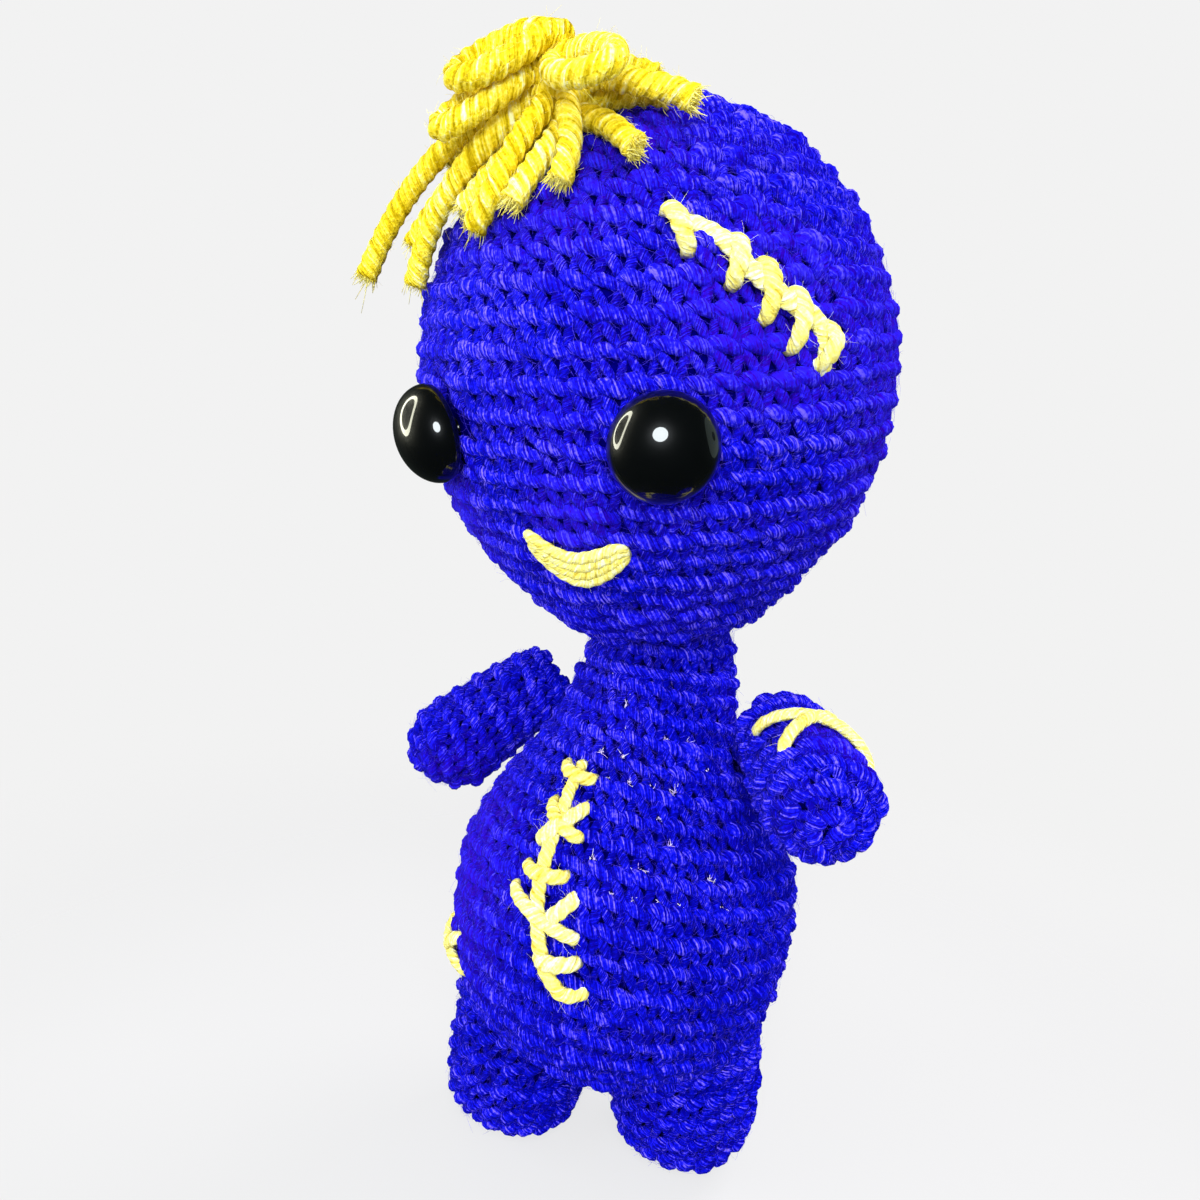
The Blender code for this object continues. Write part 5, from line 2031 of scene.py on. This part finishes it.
@dataclass
class Mouth:
    """The mouth: strands side by side from corner to corner, bowed downwards."""

    head: Head
    corners: tuple[tuple[float, float], ...] = (
        (-6, -26),
        (0, -31),
        (6, -33),
        (12, -31.5),
        (18, -28),
    )
    strands: int = 4
    radius: float = 0.00100
    spread_deg: float = 1.85
    dip: float = 0.0008

    def build(self) -> bpy.types.Object:
        """Build the mouth.

        Returns:
            Its object.
        """
        rng = np.random.default_rng(77)
        route = smooth_route(self.corners, 12)
        share = np.linspace(0, 1, len(route))
        bow = np.sin(math.pi * share)
        patches = []
        for strand in range(self.strands):
            latitude = route[:, 1] + self.spread_deg * strand * bow**0.35
            lift = -self.dip + (self.radius + self.dip) * bow**0.25
            points, normals = self.head.spot(route[:, 0], latitude, lift)
            radius = self.radius * (0.85 + 0.15 * bow**0.5)
            patches.append(
                sweep_one(
                    points,
                    normals,
                    radius,
                    14,
                    0.55,
                    rng.random(1),
                    flatness=0.8,
                    lobes=3,
                    lobe_depth=0.08,
                    twist_pitch=0.0066,
                )
            )
            pick = rng.integers(1, len(route) - 1, 70)
            loose = Fuzz(length=0.0008, radius=0.000024, rise=0.25)
            patches.append(loose.strands(points[pick], normals[pick], rng, slot=1))
        piece = weld_patches("mouth_stitches", patches, finishes("lemon", "lemon_fuzz"))
        return register(piece, "head", ("mouth",))


def dress_washers(frame: dict) -> None:
    """Give the washers' solids, which keep their own shape, their plastic.

    Args:
        frame: the loaded frame, with its nodes.
    """
    for name, node in frame["nodes"].items():
        if "washer" in name:
            node.data.materials.clear()
            node.data.materials.append(FINISHES["washer"])
            LOG.info("%s: dressed as it is", name)


@dataclass
class Studio:
    """Camera, floor, lamps and backdrop."""

    azimuth_deg: float = 28.56
    pitch_deg: float = 6.65
    roll_deg: float = 4.25
    distance: float = 0.14354
    offset_x: float = -0.0055
    offset_z: float = 0.1243
    focal_share: float = 0.65
    sensor_width: float = 36.0
    backdrop: float = 0.888
    ambient: float = 0.50
    glossy: float = 0.035
    gloss_tint: Triple = (0.62, 0.80, 0.72)

    def build(self) -> None:
        """Set up everything that isn't the doll."""
        self._camera()
        self._floor()
        self._world()
        self._light("key", (0.30, -0.55, 0.60), 0.40, 4.2, (1.0, 0.99, 0.97))
        self._light("fill", (-0.55, -0.40, 0.30), 0.50, 2.2, (0.96, 0.97, 1.0))
        self._light("rim", (0.25, 0.50, 0.45), 0.40, 3.6, (0.96, 0.92, 1.0))
        self._light("flash", (0.105, -0.262, 0.155), 0.105, 0.62, (0.90, 0.97, 1.0), glossy=True)
        ring, side = self._ring(0.075, 0.012, 1.55), self._ring(0.14, 0.09)
        self._panel("ring", (-0.215, -0.140, 0.205), ring, 14.0, (1.0, 1.0, 0.80))
        self._panel("side", (0.42, 0.30, 0.26), side, 0.55, self.gloss_tint)
        bpy.context.scene.view_settings.view_transform = "Standard"

    @staticmethod
    def _ring(radius: float, thickness: float, tall: float = 1.0) -> np.ndarray:
        """Corners of a ring's grid: R + r cos b round the axis, r sin b high, times tall."""
        around, tube = np.linspace(0, TAU, 49)[:-1], np.linspace(0, TAU, 9)[:-1]
        reach = radius + thickness * np.cos(tube)[None, :]
        return np.stack(
            (
                reach * np.cos(around)[:, None],
                reach * np.sin(around)[:, None] * tall,
                np.broadcast_to(thickness * np.sin(tube), (48, 8)),
            ),
            axis=-1,
        )

    @staticmethod
    def _facing(spot: tuple, target: tuple, front: str) -> Matrix:
        """Place at a spot, with its front axis towards a target."""
        aim = Vector(target) - Vector(spot)
        return Matrix.Translation(spot) @ aim.to_track_quat(front, "Y").to_matrix().to_4x4()

    def _panel(
        self, name: str, spot: tuple, grid: np.ndarray, power: float, colour: tuple
    ) -> None:
        """A glowing ring, seen only in the eyes' gloss, that faces the doll's face."""
        rows, columns = grid.shape[:2]
        place = self._facing(spot, (0, -0.03, 0.13), "Z")
        row, column = np.meshgrid(np.arange(rows), np.arange(columns), indexing="ij")
        ahead, beside = (row + 1) % rows, (column + 1) % columns
        here, there = row * columns, ahead * columns
        quads = np.stack(
            (here + column, there + column, there + beside, here + beside), axis=-1
        ).reshape(-1, 4)
        points = move_points(grid.reshape(-1, 3), place)
        count = len(points)
        patch = Patch(points, [quads], np.zeros((quads.size, 2)), np.zeros(count), np.zeros(count))
        graph = Graph(name + "_glow")
        graph.set_shader(Base_Color=(0.0, 0.0, 0.0), Emission_Color=colour, Emission_Strength=power)
        piece = weld_patches(name + "_lamp", [patch], (graph.material,))
        piece.visible_camera = False
        piece.visible_diffuse = False
        piece.visible_shadow = False

    def _camera(self) -> None:
        """Place the camera at the photograph's angle."""
        angles = (self.azimuth_deg, self.pitch_deg, self.roll_deg)
        azimuth, pitch, roll = (math.radians(angle) for angle in angles)
        forward = Vector(
            (
                -math.sin(azimuth) * math.cos(pitch),
                math.cos(azimuth) * math.cos(pitch),
                -math.sin(pitch),
            )
        )
        level = Vector((math.cos(azimuth), math.sin(azimuth), 0))
        up = level.cross(forward)
        right = level * math.cos(roll) + up * math.sin(roll)
        top = up * math.cos(roll) - level * math.sin(roll)
        data = bpy.data.cameras.new("camera")
        data.sensor_width = self.sensor_width
        data.lens = self.sensor_width * self.focal_share
        data.clip_start = 0.01
        camera = bpy.data.objects.new("camera", data)
        bpy.context.scene.collection.objects.link(camera)
        turn = axes_turn(right, top, -forward)
        back = Vector((math.sin(azimuth), -math.cos(azimuth), 0))
        spot = back * self.distance + level * self.offset_x + Vector((0, 0, self.offset_z))
        camera.matrix_world = Matrix.Translation(spot) @ turn
        bpy.context.scene.camera = camera

    def _floor(self) -> None:
        """A wide pale disc under the doll."""
        outline = np.array([[0.0, 0.0], [0.2, 0.0], [0.8, 0.0], [0.8, -0.01], [0.0, -0.01]])
        patch = turned_patch(outline, 96, Matrix.Identity(4))
        floor = weld_patches("floor", [patch], (FINISHES["floor"],))
        floor.visible_glossy = False
        floor.visible_diffuse = False

    def _world(self) -> None:
        """A backdrop that is pale to the camera, soft to the yarn and dark to the gloss."""
        world = bpy.data.worlds.new("backdrop")
        world.use_nodes = True
        tree = world.node_tree
        background = tree.nodes["Background"]
        path = tree.nodes.new("ShaderNodeLightPath")
        soft = self._blend(tree, path.outputs["Is Glossy Ray"], self.ambient, self.glossy)
        seen = self._blend(tree, path.outputs["Is Camera Ray"], soft, self.backdrop)
        tree.links.new(seen, background.inputs["Strength"])
        tint = tree.nodes.new("ShaderNodeMix")
        tint.data_type = "RGBA"
        tree.links.new(path.outputs["Is Glossy Ray"], tint.inputs[0])
        tint.inputs[6].default_value = (1.0, 1.0, 1.0, 1.0)
        tint.inputs[7].default_value = (*self.gloss_tint, 1.0)
        tree.links.new(tint.outputs[2], background.inputs["Color"])
        bpy.context.scene.world = world

    @staticmethod
    def _blend(
        tree: bpy.types.NodeTree, mask: bpy.types.NodeSocket, low: object, high: object
    ) -> bpy.types.NodeSocket:
        """Choose between two strengths by a mask."""
        mix = tree.nodes.new("ShaderNodeMix")
        tree.links.new(mask, mix.inputs[0])
        for socket, value in ((mix.inputs[2], low), (mix.inputs[3], high)):
            if isinstance(value, bpy.types.NodeSocket):
                tree.links.new(value, socket)
            else:
                socket.default_value = value
        return mix.outputs[0]

    def _light(
        self, name: str, spot: tuple, size: float, power: float, colour: tuple, glossy: bool = False
    ) -> None:
        """An area light that faces the doll's middle, and shows in the gloss only if asked."""
        data = bpy.data.lights.new(name, "AREA")
        data.shape = "DISK"
        data.size = size
        data.energy = power
        data.color = colour
        light = bpy.data.objects.new(name, data)
        bpy.context.scene.collection.objects.link(light)
        light.visible_glossy = glossy
        light.matrix_world = self._facing(spot, (0, 0, 0.1), "-Z")


def main() -> None:
    """Build the doll and its studio."""
    logging.basicConfig(level=logging.INFO, format="%(name)s: %(message)s")
    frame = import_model()
    for key, finish in (
        ("blue", BLUE_YARN),
        ("painted_shade_sheet", PAINTED_SHADE_SHEET),
        ("fuzz", BLUE_FUZZ),
        ("fibre", PALE_FIBRE),
        ("hair", HAIR_YARN),
        ("hair_fuzz", HAIR_FUZZ),
        ("lemon", LEMON_YARN),
        ("lemon_fuzz", LEMON_FUZZ),
        ("eye", EYE_BLACK),
        ("washer", WASHER_WHITE),
        ("floor", PALE_FLOOR),
    ):
        FINISHES[key] = finish.material()
    frames = DollFrames.from_frame(frame)
    head, torso = Head(frames), Torso(frames)
    legs = [Leg(Side.LEFT, frames, -0.0045), Leg(Side.RIGHT, frames, 0.0108)]
    arms = [
        Arm(Side.LEFT, frames.left_arm_joint, 58.0, 10.0),
        Arm(Side.RIGHT, frames.right_arm_joint, 52.0, 33.0),
    ]
    head.build()
    torso.build(legs)
    Neck(frames).build()
    for arm in arms:
        arm.build()
    for leg in legs:
        leg.build(torso)
    for side in Side:
        SafetyEye(side, head).build()
    for mark in embroideries(head, torso, arms[0]):
        mark.build()
    Mouth(head).build()
    Hair(head).build()
    dress_washers(frame)
    Studio().build()


if __name__ == "__main__":
    main()
